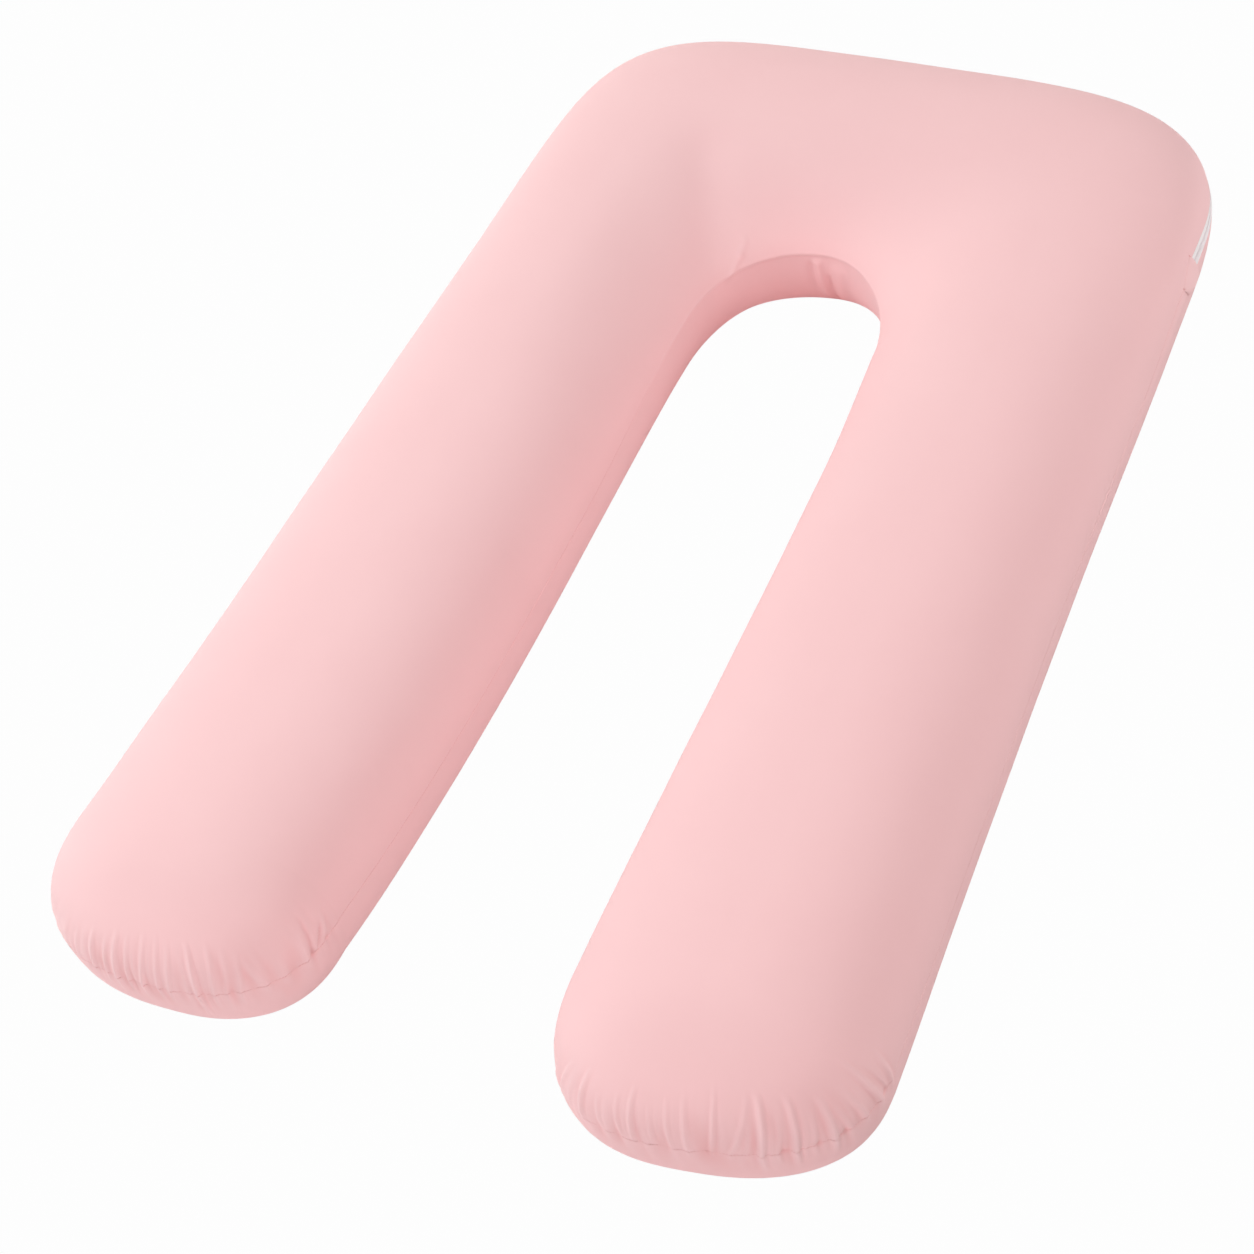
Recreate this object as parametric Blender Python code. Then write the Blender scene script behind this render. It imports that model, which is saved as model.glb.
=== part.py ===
import math

import bmesh
import bpy
import numpy as np

# A U-shaped pregnancy pillow, lying flat, in metres
# +X is the pillow's right, +Y points to the bar that joins its two legs, +Z is up
# Its cover is two jersey panels sewn together at mid height, with a zip round one corner of the bar

# Plan of the bar and of the gap between the legs
BAR_EDGE_Y = 0.708          # far edge of the bar
BAR_SLANT = -0.012          # the bar's right corner reaches a little less far than its left one
OUTER_SPRING_Y = 0.302      # where the outer edges leave the legs for the bar
GAP_SPRING_Y = 0.243        # where the gap's edges start its round end
GAP_ROUND = 0.1403          # how far that round end reaches past its spring line

# Each leg's outer and inner edge, measured from the middle line, at four stations from bar to end
STATIONS = (0.0, 0.33, 0.67, 1.0)
LEGS = {
    "right": {"side": 1, "outer": (0.400, 0.406, 0.418, 0.432), "inner": (0.113, 0.121, 0.124, 0.128),
              "corner_power": 4.45, "gap_power": 1.72,
              "end_y": -0.5615, "end_reach": 0.130, "end_power": 2.57, "end_skew": 0.156},
    "left": {"side": -1, "outer": (0.4045, 0.409, 0.412, 0.418), "inner": (0.116, 0.114, 0.109, 0.118),
             "corner_power": 5.12, "gap_power": 2.14,
             "end_y": -0.573, "end_reach": 0.125, "end_power": 2.53, "end_skew": -0.037},
}

# Section of the stuffed tube, from the seam to its crown and to its base
CROWN_HEIGHT = 0.192
SEAM_HEIGHT = 0.0984
TOP_POWER = 2.35            # roundness of the upper panel
BASE_POWER = 2.90           # the lower panel is squarer
BASE_PRESS = 0.004          # how much of the base is pressed flat by the pillow's weight

# At the gap's round end the seam is higher, and the upper panel runs straighter down to it
LEDGE_RISE = 0.0170
LEDGE_STRAIGHT = 0.61
LEDGE_BASE_POWER = 3.04
LEDGE_FADE = 0.35           # share of a leg over which that ends

# The seam also rises by the zip's lower end
CORNER_RISE = 0.0295
CORNER_RISE_AT = 0.140      # along the outer edge, from the bar's right spring line
CORNER_RISE_SPAN = 0.120

# A soft dip where the bar meets the left leg
DIP_START = (-0.187, 0.446)
DIP_END = (-0.127, 0.322)
DIP_WIDTH = 0.030
DIP_DEPTH = 0.004

# Sewn groove all round, and the wider channel that holds the zip
GROOVE_HALF = 0.0014
GROOVE_DEPTH = 0.0012
CHANNEL_HALF = 0.0074
CHANNEL_DEPTH = 0.0020
CHANNEL_TAPER = 0.003

# Zip, measured along the outer edge from the bar's right spring line
ZIP_START = 0.143
ZIP_END = 0.713
COIL_START = 0.1560
TAPE_HALF = 0.0068
TAPE_THICK = 0.0011
COIL_HALF = 0.0022
COIL_HIGH = 0.0013
CLEARANCE = 0.0004

# Half-round tab over the zip's lower end
TAB_MIDDLE = 0.1300
TAB_HALF = 0.0215
TAB_DROP = 0.031
TAB_ABOVE = 0.0081          # the middle of its sewn edge above the zip's middle line
TAB_TURN = math.radians(19)     # its sewn edge is sewn on aslant, higher towards the zip
TAB_EDGE_THICK = 0.0012
TAB_PUFF = 0.0022
TAB_ROWS = 8
TAB_COLUMNS = 10
TAB_TIP_SHARE = 0.30        # width left at the lowest row

# Gathers at the leg ends, where the longer panel edge is eased into the seam
# along: place on the end's seam from its -X side; lean: sideways shift at the top of the fold
# up and down: how far the fold runs from the seam; high: height of its ridge
GATHERS = {
    "left": (
        {"along": 0.149, "lean": 0.007, "up": 0.040, "down": 0.018, "high": 0.0016},
        {"along": 0.171, "lean": 0.005, "up": 0.050, "down": 0.020, "high": 0.0020},
        {"along": 0.186, "lean": 0.008, "up": 0.050, "down": 0.018, "high": 0.0018},
        {"along": 0.199, "lean": 0.007, "up": 0.055, "down": 0.020, "high": 0.0020},
        {"along": 0.212, "lean": 0.008, "up": 0.052, "down": 0.022, "high": 0.0020},
        {"along": 0.228, "lean": 0.012, "up": 0.057, "down": 0.018, "high": 0.0020},
        {"along": 0.245, "lean": 0.011, "up": 0.060, "down": 0.016, "high": 0.0018},
        {"along": 0.257, "lean": 0.012, "up": 0.060, "down": 0.014, "high": 0.0016},
        {"along": 0.283, "lean": 0.011, "up": 0.082, "down": 0.045, "high": 0.0030},
        {"along": 0.299, "lean": 0.012, "up": 0.056, "down": 0.020, "high": 0.0015},
        {"along": 0.312, "lean": 0.013, "up": 0.050, "down": 0.020, "high": 0.0014},
        {"along": 0.325, "lean": 0.012, "up": 0.048, "down": 0.014, "high": 0.0014},
        {"along": 0.392, "lean": 0.004, "up": 0.026, "down": 0.014, "high": 0.0020},
        {"along": 0.412, "lean": 0.006, "up": 0.028, "down": 0.012, "high": 0.0022},
    ),
    "right": (
        {"along": 0.138, "lean": -0.006, "up": 0.042, "down": 0.016, "high": 0.0018},
        {"along": 0.154, "lean": -0.007, "up": 0.066, "down": 0.024, "high": 0.0026},
        {"along": 0.173, "lean": -0.008, "up": 0.062, "down": 0.018, "high": 0.0016},
        {"along": 0.193, "lean": -0.010, "up": 0.078, "down": 0.022, "high": 0.0026},
        {"along": 0.208, "lean": -0.008, "up": 0.074, "down": 0.018, "high": 0.0016},
        {"along": 0.224, "lean": -0.004, "up": 0.074, "down": 0.016, "high": 0.0018},
        {"along": 0.240, "lean": -0.010, "up": 0.082, "down": 0.014, "high": 0.0018},
        {"along": 0.276, "lean": 0.006, "up": 0.086, "down": 0.012, "high": 0.0018},
        {"along": 0.290, "lean": 0.022, "up": 0.090, "down": 0.018, "high": 0.0022},
        {"along": 0.314, "lean": 0.010, "up": 0.072, "down": 0.026, "high": 0.0032},
        {"along": 0.332, "lean": 0.008, "up": 0.060, "down": 0.018, "high": 0.0014},
        {"along": 0.350, "lean": 0.006, "up": 0.072, "down": 0.022, "high": 0.0032},
        {"along": 0.364, "lean": 0.006, "up": 0.052, "down": 0.014, "high": 0.0018},
        {"along": 0.386, "lean": -0.006, "up": 0.052, "down": 0.020, "high": 0.0026},
        {"along": 0.444, "lean": -0.006, "up": 0.050, "down": 0.014, "high": 0.0020},
    ),
}
FOLD_HALF = 0.0048          # half width of one gathered fold

# How finely the surface is divided
LEG_STEPS = 15
BAR_STEPS = 44
TOP_ANGLES = (68.0, 50.0, 35.0, 22.0, 11.0, 4.0)    # degrees, from below the crown towards the seam
BASE_SHARES = (0.038, 0.18, 0.43, 0.71, 1.0)        # from the seam to where the base meets the floor
END_STEP = 0.019            # widest spacing of columns round a leg's end
END_CLOSEST = 0.0036

JERSEY_COLOUR = (0.78, 0.50, 0.50, 1.0)
ZIP_COLOUR = (0.80, 0.77, 0.77, 1.0)


def clear_scene():
    for thing in list(bpy.data.objects):
        bpy.data.objects.remove(thing, do_unlink=True)


def signed_power(value, power):
    return math.copysign(abs(value) ** power, value)


def mix(a, b, share):
    return a + (b - a) * share


def leg_edge(leg, edge, share):
    return float(np.polyval(np.polyfit(STATIONS, leg[edge], 3), share))


# Outer and inner edge points of a leg, share 0 at the bar and 1 at the start of its rounded end
def leg_pair(leg, share):
    outer = (leg["side"] * leg_edge(leg, "outer", share), mix(OUTER_SPRING_Y, leg["end_y"], share))
    inner = (leg["side"] * leg_edge(leg, "inner", share), mix(GAP_SPRING_Y, leg["end_y"], share))
    return outer, inner


# Outer and inner edge points round the bar, from the right leg at angle 0 to the left leg at pi
def bar_pair(angle):
    c, s = math.cos(angle), math.sin(angle)
    rightness = 0.5 * (1 + math.tanh(4 * c))
    near = LEGS["right"] if c > 0 else LEGS["left"]
    corner = mix(LEGS["left"]["corner_power"], LEGS["right"]["corner_power"], rightness)
    gap = mix(LEGS["left"]["gap_power"], LEGS["right"]["gap_power"], rightness)
    depth = BAR_EDGE_Y - OUTER_SPRING_Y
    reach = ((abs(c) / near["outer"][0]) ** corner + (abs(s) / depth) ** corner) ** (-1 / corner)
    outer = (reach * c, OUTER_SPRING_Y + reach * s + BAR_SLANT * reach * c * s)
    inner = (near["inner"][0] * signed_power(c, 2 / gap), GAP_SPRING_Y + GAP_ROUND * signed_power(s, 2 / gap))
    return outer, inner


# Edge pair at u: 0 to 1 up the right leg, 1 to 2 round the bar, 2 to 3 down the left leg
def edge_pair(u):
    if u < 1:
        return leg_pair(LEGS["right"], 1 - u)
    if u > 2:
        return leg_pair(LEGS["left"], u - 2)
    return bar_pair((u - 1) * math.pi)


# Point on the rounded end of a leg, angle 0 at its outer edge and pi at its inner edge
def end_point(leg, angle):
    outer, inner = leg_edge(leg, "outer", 1), leg_edge(leg, "inner", 1)
    middle, half = (outer + inner) / 2, (outer - inner) / 2
    t = signed_power(math.cos(angle), 2 / leg["end_power"])
    v = signed_power(math.sin(angle), 2 / leg["end_power"])
    return leg["side"] * (middle + half * t), leg["end_y"] - leg["end_reach"] * v + leg["end_skew"] * t * v * half


# Values of a curve's parameter at given distances along it
def at_distances(curve, start, end, distances, samples=600):
    values = np.linspace(start, end, samples)
    points = np.array([curve(v) for v in values])
    along = np.concatenate(([0.0], np.cumsum(np.linalg.norm(np.diff(points, axis=0), axis=1))))
    return np.interp(distances, along, values), along[-1]


def bar_outer(u):
    return edge_pair(u)[0]


def bar_u(distance):
    return float(at_distances(bar_outer, 1.0, 2.0, [distance])[0][0])


# Places round a leg's end: the crest and both feet of each fold, and even steps between
def end_distances(name, total):
    wanted = [0.0, total]
    for fold in GATHERS[name]:
        wanted += [fold["along"] - FOLD_HALF, fold["along"], fold["along"] + FOLD_HALF]
    crests = {fold["along"] for fold in GATHERS[name]} | {0.0, total}
    kept = []
    for place in sorted(wanted):
        if kept and place - kept[-1] < END_CLOSEST:
            if place in crests:
                kept[-1] = place
            continue
        kept.append(place)
    filled = []
    for a, b in zip(kept, kept[1:]):
        filled += list(np.linspace(a, b, max(1, math.ceil((b - a) / END_STEP)) + 1)[:-1])
    return filled[1:]


# Seam columns in one loop: up the right outer edge, over the bar, down the left outer edge,
# round the left end, up and down the gap, and round the right end
def seam_columns():
    leg = [i / LEG_STEPS for i in range(LEG_STEPS)]
    bar = [1 + i / BAR_STEPS for i in range(BAR_STEPS)]
    zip_cuts = [bar_u(d) for d in (ZIP_START - CHANNEL_TAPER - CLEARANCE, ZIP_START - CLEARANCE, ZIP_START,
                                   COIL_START, ZIP_END, ZIP_END + CLEARANCE,
                                   ZIP_END + CHANNEL_TAPER + CLEARANCE)]
    bar = [u for u in bar if min(abs(u - cut) for cut in zip_cuts) > 0.006]
    us = sorted(leg + bar + zip_cuts + [2 + i / LEG_STEPS for i in range(LEG_STEPS + 1)])
    spine = [tuple((a + b) / 2 for a, b in zip(*edge_pair(u))) for u in us]
    columns = [{"seam": edge_pair(u)[0], "spine": i, "u": u, "edge": "outer"} for i, u in enumerate(us)]
    columns += end_columns("left", 0.0, math.pi, len(us) - 1)
    columns += [{"seam": edge_pair(u)[1], "spine": i, "u": u, "edge": "inner"}
                for i, u in reversed(list(enumerate(us)))]
    columns += end_columns("right", math.pi, 0.0, 0)
    add_outward(columns)
    return columns, spine


def end_columns(name, start, end, spine):
    def curve(angle):
        return end_point(LEGS[name], angle)
    total = at_distances(curve, start, end, [0.0])[1]
    places = end_distances(name, total)
    angles = at_distances(curve, start, end, places)[0]
    return [{"seam": curve(a), "spine": spine, "end": name, "along": d} for a, d in zip(angles, places)]


# Level direction out of the cover at each column
def add_outward(columns):
    for i, column in enumerate(columns):
        before, after = columns[i - 1]["seam"], columns[(i + 1) % len(columns)]["seam"]
        tx, ty = after[0] - before[0], after[1] - before[1]
        length = math.hypot(tx, ty)
        column["out"] = (ty / length, -tx / length)


# 1 along the gap's round end, fading to 0 down the legs' inner edges
def ledge_share(column):
    if column.get("edge") != "inner":
        return 0.0
    past = max(0.0, 1 - column["u"], column["u"] - 2)
    return 0.5 * (1 + math.cos(math.pi * min(1.0, past / LEDGE_FADE)))


def corner_rise(column, bar_along):
    if column.get("edge") != "outer":
        return 0.0
    return CORNER_RISE * math.exp(-((bar_along - CORNER_RISE_AT) / CORNER_RISE_SPAN) ** 2)


# Distance along the outer edge from the bar's right spring line, negative on the right leg
def outer_distances(columns):
    run = [c for c in columns if c.get("edge") == "outer"]
    points = np.array([c["seam"] for c in run])
    along = np.concatenate(([0.0], np.cumsum(np.linalg.norm(np.diff(points, axis=0), axis=1))))
    zero = along[[c["u"] for c in run].index(1.0)]
    return dict(zip([id(c) for c in run], along - zero))


# Height of the gathered folds above the plain surface, at a distance from the seam
def fold_height(column, distance, above):
    if "end" not in column:
        return 0.0
    total = 0.0
    for fold in GATHERS[column["end"]]:
        reach = fold["up"] if above else fold["down"]
        share = min(1.0, distance / reach)
        shift = fold["lean"] * share if above else 0.0
        across = (column["along"] - fold["along"] - shift) / FOLD_HALF
        total += fold["high"] * (1 - share) ** 0.8 * math.exp(-1.6 * across ** 2)
    return total


def dip_depth(x, y):
    ax, ay = DIP_START
    bx, by = DIP_END
    share = ((x - ax) * (bx - ax) + (y - ay) * (by - ay)) / ((bx - ax) ** 2 + (by - ay) ** 2)
    share = min(1.0, max(0.0, share))
    away = math.hypot(x - mix(ax, bx, share), y - mix(ay, by, share))
    return DIP_DEPTH * math.exp(-(away / DIP_WIDTH) ** 2)


# A point of the section: share 1 at the seam and 0 at the spine, with its direction out of the cover
def section_point(column, spine, angle, above):
    ledge = column["ledge"]
    if above:
        power, high = TOP_POWER, CROWN_HEIGHT - column["seam_z"]
        share, lift = math.cos(angle) ** (2 / power), math.sin(angle) ** (2 / power)
        straight = LEDGE_STRAIGHT * ledge
        lift = mix(lift, 1 - share ** 2, straight)
        z = column["seam_z"] + high * lift
    else:
        power, high = mix(BASE_POWER, LEDGE_BASE_POWER, ledge), column["seam_z"] + BASE_PRESS
        share, lift = math.cos(angle) ** (2 / power), math.sin(angle) ** (2 / power)
        z = max(0.0, column["seam_z"] - high * lift)
    sx, sy = column["seam"]
    x, y = mix(spine[0], sx, share), mix(spine[1], sy, share)
    width = math.hypot(sx - spine[0], sy - spine[1])
    level, upright = share ** (power - 1) / width, lift ** (power - 1) / high
    size = math.hypot(level, upright)
    ox, oy = (sx - spine[0]) / width, (sy - spine[1]) / width
    rise = upright / size if above else -upright / size
    return np.array([x, y, z]), np.array([ox * level / size, oy * level / size, rise])


def prepare_columns():
    columns, spine = seam_columns()
    along = outer_distances(columns)
    for column in columns:
        column["bar_along"] = along.get(id(column), -1.0)
        column["ledge"] = ledge_share(column)
        rise = LEDGE_RISE * column["ledge"] + corner_rise(column, column["bar_along"])
        column["seam_z"] = SEAM_HEIGHT + rise
        column["zip"] = zip_share(column["bar_along"])
    return columns, spine


# 1 along the zip's channel, 0 on the plain seam
def zip_share(bar_along):
    first, last = ZIP_START - CLEARANCE, ZIP_END + CLEARANCE
    inside = min(bar_along - first, last - bar_along)
    return min(1.0, max(0.0, 1 + (inside + CLEARANCE / 4) / CHANNEL_TAPER))


# The four points across the groove or channel at the seam, from its upper lip to its lower lip
def groove_points(column):
    share = column["zip"]
    half = mix(GROOVE_HALF, CHANNEL_HALF, share)
    depth = mix(GROOVE_DEPTH, CHANNEL_DEPTH, share)
    floor = mix(GROOVE_HALF / 3, CHANNEL_HALF - CLEARANCE / 4, share)
    x, y = column["seam"]
    ox, oy = column["out"]
    puff = fold_height(column, 0.0, True)
    z = column["seam_z"]
    lip = (x + ox * puff, y + oy * puff)
    bed = (x - ox * (depth - puff / 2), y - oy * (depth - puff / 2))
    return [(*lip, z + half), (*bed, z + floor), (*bed, z - floor), (*lip, z - half)]


# Angle of the section at which the lower panel reaches the floor
def touch_angle(column):
    power = mix(BASE_POWER, LEDGE_BASE_POWER, column["ledge"])
    return math.asin((column["seam_z"] / (column["seam_z"] + BASE_PRESS)) ** (power / 2))


def panel_point(column, spine, angle, above):
    point, out = section_point(column, spine, angle, above)
    distance = abs(point[2] - column["seam_z"])
    point = point + out * fold_height(column, distance, above)
    if above:
        point[2] -= dip_depth(point[0], point[1])
    point[2] = max(0.0, point[2])
    return tuple(point)


def column_points(column, spine):
    here = spine[column["spine"]]
    touch = touch_angle(column)
    points = [panel_point(column, here, math.radians(degrees), True) for degrees in TOP_ANGLES]
    points += groove_points(column)
    points += [panel_point(column, here, touch * share, False) for share in BASE_SHARES]
    points[-1] = (points[-1][0], points[-1][1], 0.0)
    return points


# Loft every column from the crown line, over the seam, to the line where the base lies
def build_cover(columns, spine):
    mesh = bmesh.new()
    crown = [mesh.verts.new((x, y, CROWN_HEIGHT - dip_depth(x, y))) for x, y in spine]
    base = [mesh.verts.new((x, y, 0.0)) for x, y in spine]
    rows = [[mesh.verts.new(p) for p in column_points(column, spine)] for column in columns]
    for i, column in enumerate(columns):
        j = (i + 1) % len(columns)
        a, b = column["spine"], columns[j]["spine"]
        here, there = rows[i], rows[j]
        for k in range(len(here) - 1):
            mesh.faces.new((here[k], here[k + 1], there[k + 1], there[k]))
        add_cap_face(mesh, crown[a], crown[b], there[0], here[0])
        add_cap_face(mesh, base[b], base[a], here[-1], there[-1])
    return finish_mesh(mesh, "pillow_cover")


def add_cap_face(mesh, first, second, third, fourth):
    corners = [first, third, fourth] if first is second else [first, second, third, fourth]
    mesh.faces.new(corners)


# Close a ribbon swept along columns, each with its own ring of section points
def build_ribbon(name, rings):
    mesh = bmesh.new()
    rows = [[mesh.verts.new(p) for p in ring] for ring in rings]
    count = len(rows[0])
    for here, there in zip(rows, rows[1:]):
        for k in range(count):
            mesh.faces.new((here[k], here[(k + 1) % count], there[(k + 1) % count], there[k]))
    mesh.faces.new(rows[0])
    mesh.faces.new(rows[-1])
    return finish_mesh(mesh, name)


def zip_columns(columns, start):
    return [c for c in columns if start - 1e-5 <= c["bar_along"] <= ZIP_END + 1e-5]


# Woven tape lying in the channel, just below the cover's surface
def tape_ring(column):
    x, y = column["seam"]
    ox, oy = column["out"]
    inner = CLEARANCE - CHANNEL_DEPTH
    outer = inner + TAPE_THICK
    corners = ((inner, TAPE_HALF), (outer, TAPE_HALF), (outer, -TAPE_HALF), (inner, -TAPE_HALF))
    return [(x + ox * off, y + oy * off, column["seam_z"] + dz) for off, dz in corners]


# Nylon coil along the middle of the tape, its back rounded
def coil_ring(column):
    x, y = column["seam"]
    ox, oy = column["out"]
    foot = CLEARANCE - CHANNEL_DEPTH + TAPE_THICK + CLEARANCE
    section = ((0.0, 1.0), (0.7, 0.8), (1.0, 0.0), (0.7, -0.8), (0.0, -1.0))
    return [(x + ox * (foot + COIL_HIGH * rise), y + oy * (foot + COIL_HIGH * rise),
             column["seam_z"] + COIL_HALF * side) for rise, side in section]


# Point on the cover's outer side by the bar's right corner, above or below the zip's middle line
def side_point(along, dz, off):
    u = bar_u(along)
    outer, inner = edge_pair(u)
    spine = ((outer[0] + inner[0]) / 2, (outer[1] + inner[1]) / 2)
    rise = CORNER_RISE * math.exp(-((along - CORNER_RISE_AT) / CORNER_RISE_SPAN) ** 2)
    column = {"seam": outer, "ledge": 0.0, "seam_z": SEAM_HEIGHT + rise}
    high = CROWN_HEIGHT - column["seam_z"] if dz > 0 else column["seam_z"] + BASE_PRESS
    power = TOP_POWER if dz > 0 else BASE_POWER
    angle = math.asin((abs(dz) / high) ** (power / 2))
    point, out = section_point(column, spine, angle, dz > 0)
    return point + out * off


# Half-round jersey tab: a straight sewn edge at the top and a puffed face
def build_tab():
    mesh = bmesh.new()
    layers = {"back": [], "face": []}
    for i in range(TAB_ROWS + 1):
        down = i / TAB_ROWS
        half = TAB_HALF * max(TAB_TIP_SHARE, math.sqrt(1 - down ** 2))
        for name in layers:
            row = []
            for j in range(TAB_COLUMNS + 1):
                across = 2 * j / TAB_COLUMNS - 1
                puff = (1 - across ** 4) * math.sin(math.pi * min(1.0, 0.08 + down * 0.92)) ** 0.6
                off = CLEARANCE + 0.0002
                if name == "face":
                    off += TAB_EDGE_THICK + TAB_PUFF * puff
                side, fall = half * across, TAB_DROP * down
                along = TAB_MIDDLE + side * math.cos(TAB_TURN) + fall * math.sin(TAB_TURN)
                dz = TAB_ABOVE + side * math.sin(TAB_TURN) - fall * math.cos(TAB_TURN)
                row.append(mesh.verts.new(side_point(along, dz, off)))
            layers[name].append(row)
    for rows in layers.values():
        for here, there in zip(rows, rows[1:]):
            for j in range(TAB_COLUMNS):
                mesh.faces.new((here[j], here[j + 1], there[j + 1], there[j]))
    back, face = rim(layers["back"]), rim(layers["face"])
    for j in range(len(back)):
        k = (j + 1) % len(back)
        mesh.faces.new((back[j], back[k], face[k], face[j]))
    return finish_mesh(mesh, "zip_tab")


def rim(rows):
    right = [row[-1] for row in rows[1:-1]]
    left = [row[0] for row in rows[1:-1]]
    return rows[0] + right + rows[-1][::-1] + left[::-1]


def finish_mesh(mesh, name):
    bmesh.ops.recalc_face_normals(mesh, faces=mesh.faces)
    data = bpy.data.meshes.new(name)
    mesh.to_mesh(data)
    mesh.free()
    return bpy.data.objects.new(name, data)


def make_material(name, colour, roughness):
    material = bpy.data.materials.new(name)
    material.use_nodes = True
    shader = material.node_tree.nodes["Principled BSDF"]
    shader.inputs["Base Color"].default_value = colour
    shader.inputs["Roughness"].default_value = roughness
    shader.inputs["Metallic"].default_value = 0.0
    return material


# Put the middle of the pillow's box at the frame's origin
def centre_meshes(pieces):
    points = np.array([v.co for v in pieces[0].data.vertices])
    middle = (points.min(axis=0) + points.max(axis=0)) / 2
    for piece in pieces:
        for vertex in piece.data.vertices:
            vertex.co.x -= middle[0]
            vertex.co.y -= middle[1]


def main():
    clear_scene()
    collection = bpy.data.collections.new("pregnancy_pillow")
    bpy.context.scene.collection.children.link(collection)
    root = bpy.data.objects.new("pregnancy_pillow_root", None)
    collection.objects.link(root)

    columns, spine = prepare_columns()
    cover = build_cover(columns, spine)
    tape = build_ribbon("zip_tape", [tape_ring(c) for c in zip_columns(columns, ZIP_START)])
    coil = build_ribbon("zip_coil", [coil_ring(c) for c in zip_columns(columns, COIL_START)])
    tab = build_tab()
    pieces = [cover, tape, coil, tab]
    centre_meshes(pieces)

    finishes = {
        "pillow_cover": ("cover_jersey", JERSEY_COLOUR, 0.85),
        "zip_tape": ("zip_tape_weave", ZIP_COLOUR, 0.80),
        "zip_coil": ("zip_coil_nylon", ZIP_COLOUR, 0.45),
        "zip_tab": ("tab_jersey", JERSEY_COLOUR, 0.85),
    }
    for piece in pieces:
        collection.objects.link(piece)
        piece.parent = root
        piece.data.materials.append(make_material(*finishes[piece.name]))
        piece.data.shade_smooth()
        piece.data.set_sharp_from_angle(angle=math.radians(50))


main()
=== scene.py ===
import math
import bmesh
import bpy
import numpy as np
from mathutils import Matrix, Vector, noise


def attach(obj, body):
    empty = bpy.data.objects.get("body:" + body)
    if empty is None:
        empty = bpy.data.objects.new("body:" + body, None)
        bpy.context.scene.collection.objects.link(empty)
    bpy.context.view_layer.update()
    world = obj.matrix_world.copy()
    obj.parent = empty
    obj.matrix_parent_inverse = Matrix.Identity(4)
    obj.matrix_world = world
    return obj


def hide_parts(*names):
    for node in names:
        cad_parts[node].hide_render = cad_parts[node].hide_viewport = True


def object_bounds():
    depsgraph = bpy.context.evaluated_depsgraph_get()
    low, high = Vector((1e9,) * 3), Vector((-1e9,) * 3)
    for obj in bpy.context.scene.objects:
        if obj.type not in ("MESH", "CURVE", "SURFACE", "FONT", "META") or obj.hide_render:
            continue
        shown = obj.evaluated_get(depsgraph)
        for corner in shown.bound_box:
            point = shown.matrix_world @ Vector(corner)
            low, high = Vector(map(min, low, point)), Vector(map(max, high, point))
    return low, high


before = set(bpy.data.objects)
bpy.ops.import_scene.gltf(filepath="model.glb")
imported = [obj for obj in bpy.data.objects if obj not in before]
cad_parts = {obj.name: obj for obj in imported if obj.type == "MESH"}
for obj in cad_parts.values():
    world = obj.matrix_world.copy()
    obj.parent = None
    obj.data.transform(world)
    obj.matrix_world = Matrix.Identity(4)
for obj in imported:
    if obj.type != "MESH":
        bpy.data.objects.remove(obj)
cadLow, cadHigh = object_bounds()
print("frame loaded", tuple(cadLow), tuple(cadHigh))

# Plan of the pillow in metres, before it is centred on the frame
# outer and inner: a leg's edges from the middle line, at four stations from the bar to its end
# blend: how sharply the left corner's form gives way to the right one's at the middle of the bar
plan = {
    "barEdgeY": 0.708, "barSlant": -0.012, "outerSpringY": 0.302,
    "gapSpringY": 0.243, "gapRound": 0.1412, "blend": 4,
    "stations": (0.0, 0.33, 0.67, 1.0),
    "right": {"side": 1, "outer": (0.400, 0.406, 0.418, 0.432), "inner": (0.1085, 0.121, 0.124, 0.128),
              "cornerPower": 4.45, "gapPower": 1.80,
              "endY": -0.5615, "endReach": 0.130, "endPower": 2.57, "endSkew": 0.156},
    "left": {"side": -1, "outer": (0.4045, 0.409, 0.412, 0.420), "inner": (0.116, 0.114, 0.110, 0.123),
             "cornerPower": 5.12, "gapPower": 2.14,
             "endY": -0.573, "endReach": 0.125, "endPower": 2.53, "endSkew": -0.037},
}

# Section of the stuffed tube, its sewn groove and the channel that holds the zip
section = {
    "crown": 0.192, "seam": 0.0984, "topPower": 2.35, "basePower": 2.90, "press": 0.004,
    "ledgeRise": 0.0160, "ledgeStraight": 0.61, "ledgeEase": 12, "ledgeBasePower": 3.04, "ledgeFade": 0.35,
    "cornerRise": 0.0300, "cornerRiseAt": 0.140, "cornerRiseSpan": 0.120,
    "lean": 0.30, "leanSpan": 0.150, "leanReach": 0.018,
    "grooveHalf": 0.0006, "grooveDepth": 0.0005, "grooveShallow": 0.75,
    "channelHalf": 0.0079, "channelDepth": 0.0020, "channelTaper": 0.003, "channelSquare": 0.15,
}

# Zip, measured along the outer edge from where the bar's right corner starts
zipRun = {"start": 0.143, "coilStart": 0.1545, "end": 0.713}

# Spacing of the fine columns round the seam, closer at the zip's ends, and of the rings from crown to base
spacing = {"side": 0.0073, "end": 0.0017, "sideSamples": 1500, "endSamples": 4000,
           "zipEndSteps": (-1.2, -0.8, -0.4, 0.0, 0.4, 0.8, 1.2), "zipEndClear": 2,
           "topStep": 2.9, "topLast": 10, "baseFirst": 8, "baseStep": 5.0, "baseLast": 88,
           "lips": (0.006, 0.014, 0.026, 0.044, 0.066, 0.092, 0.122, 0.155, 0.190, 0.225)}


def mix(a, b, share):
    return a + (b - a) * share


def signedPower(value, power):
    return np.sign(value) * np.abs(value) ** power


def legEdge(leg, edge, share):
    return np.polyval(np.polyfit(plan["stations"], leg[edge], 3), share)


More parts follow.
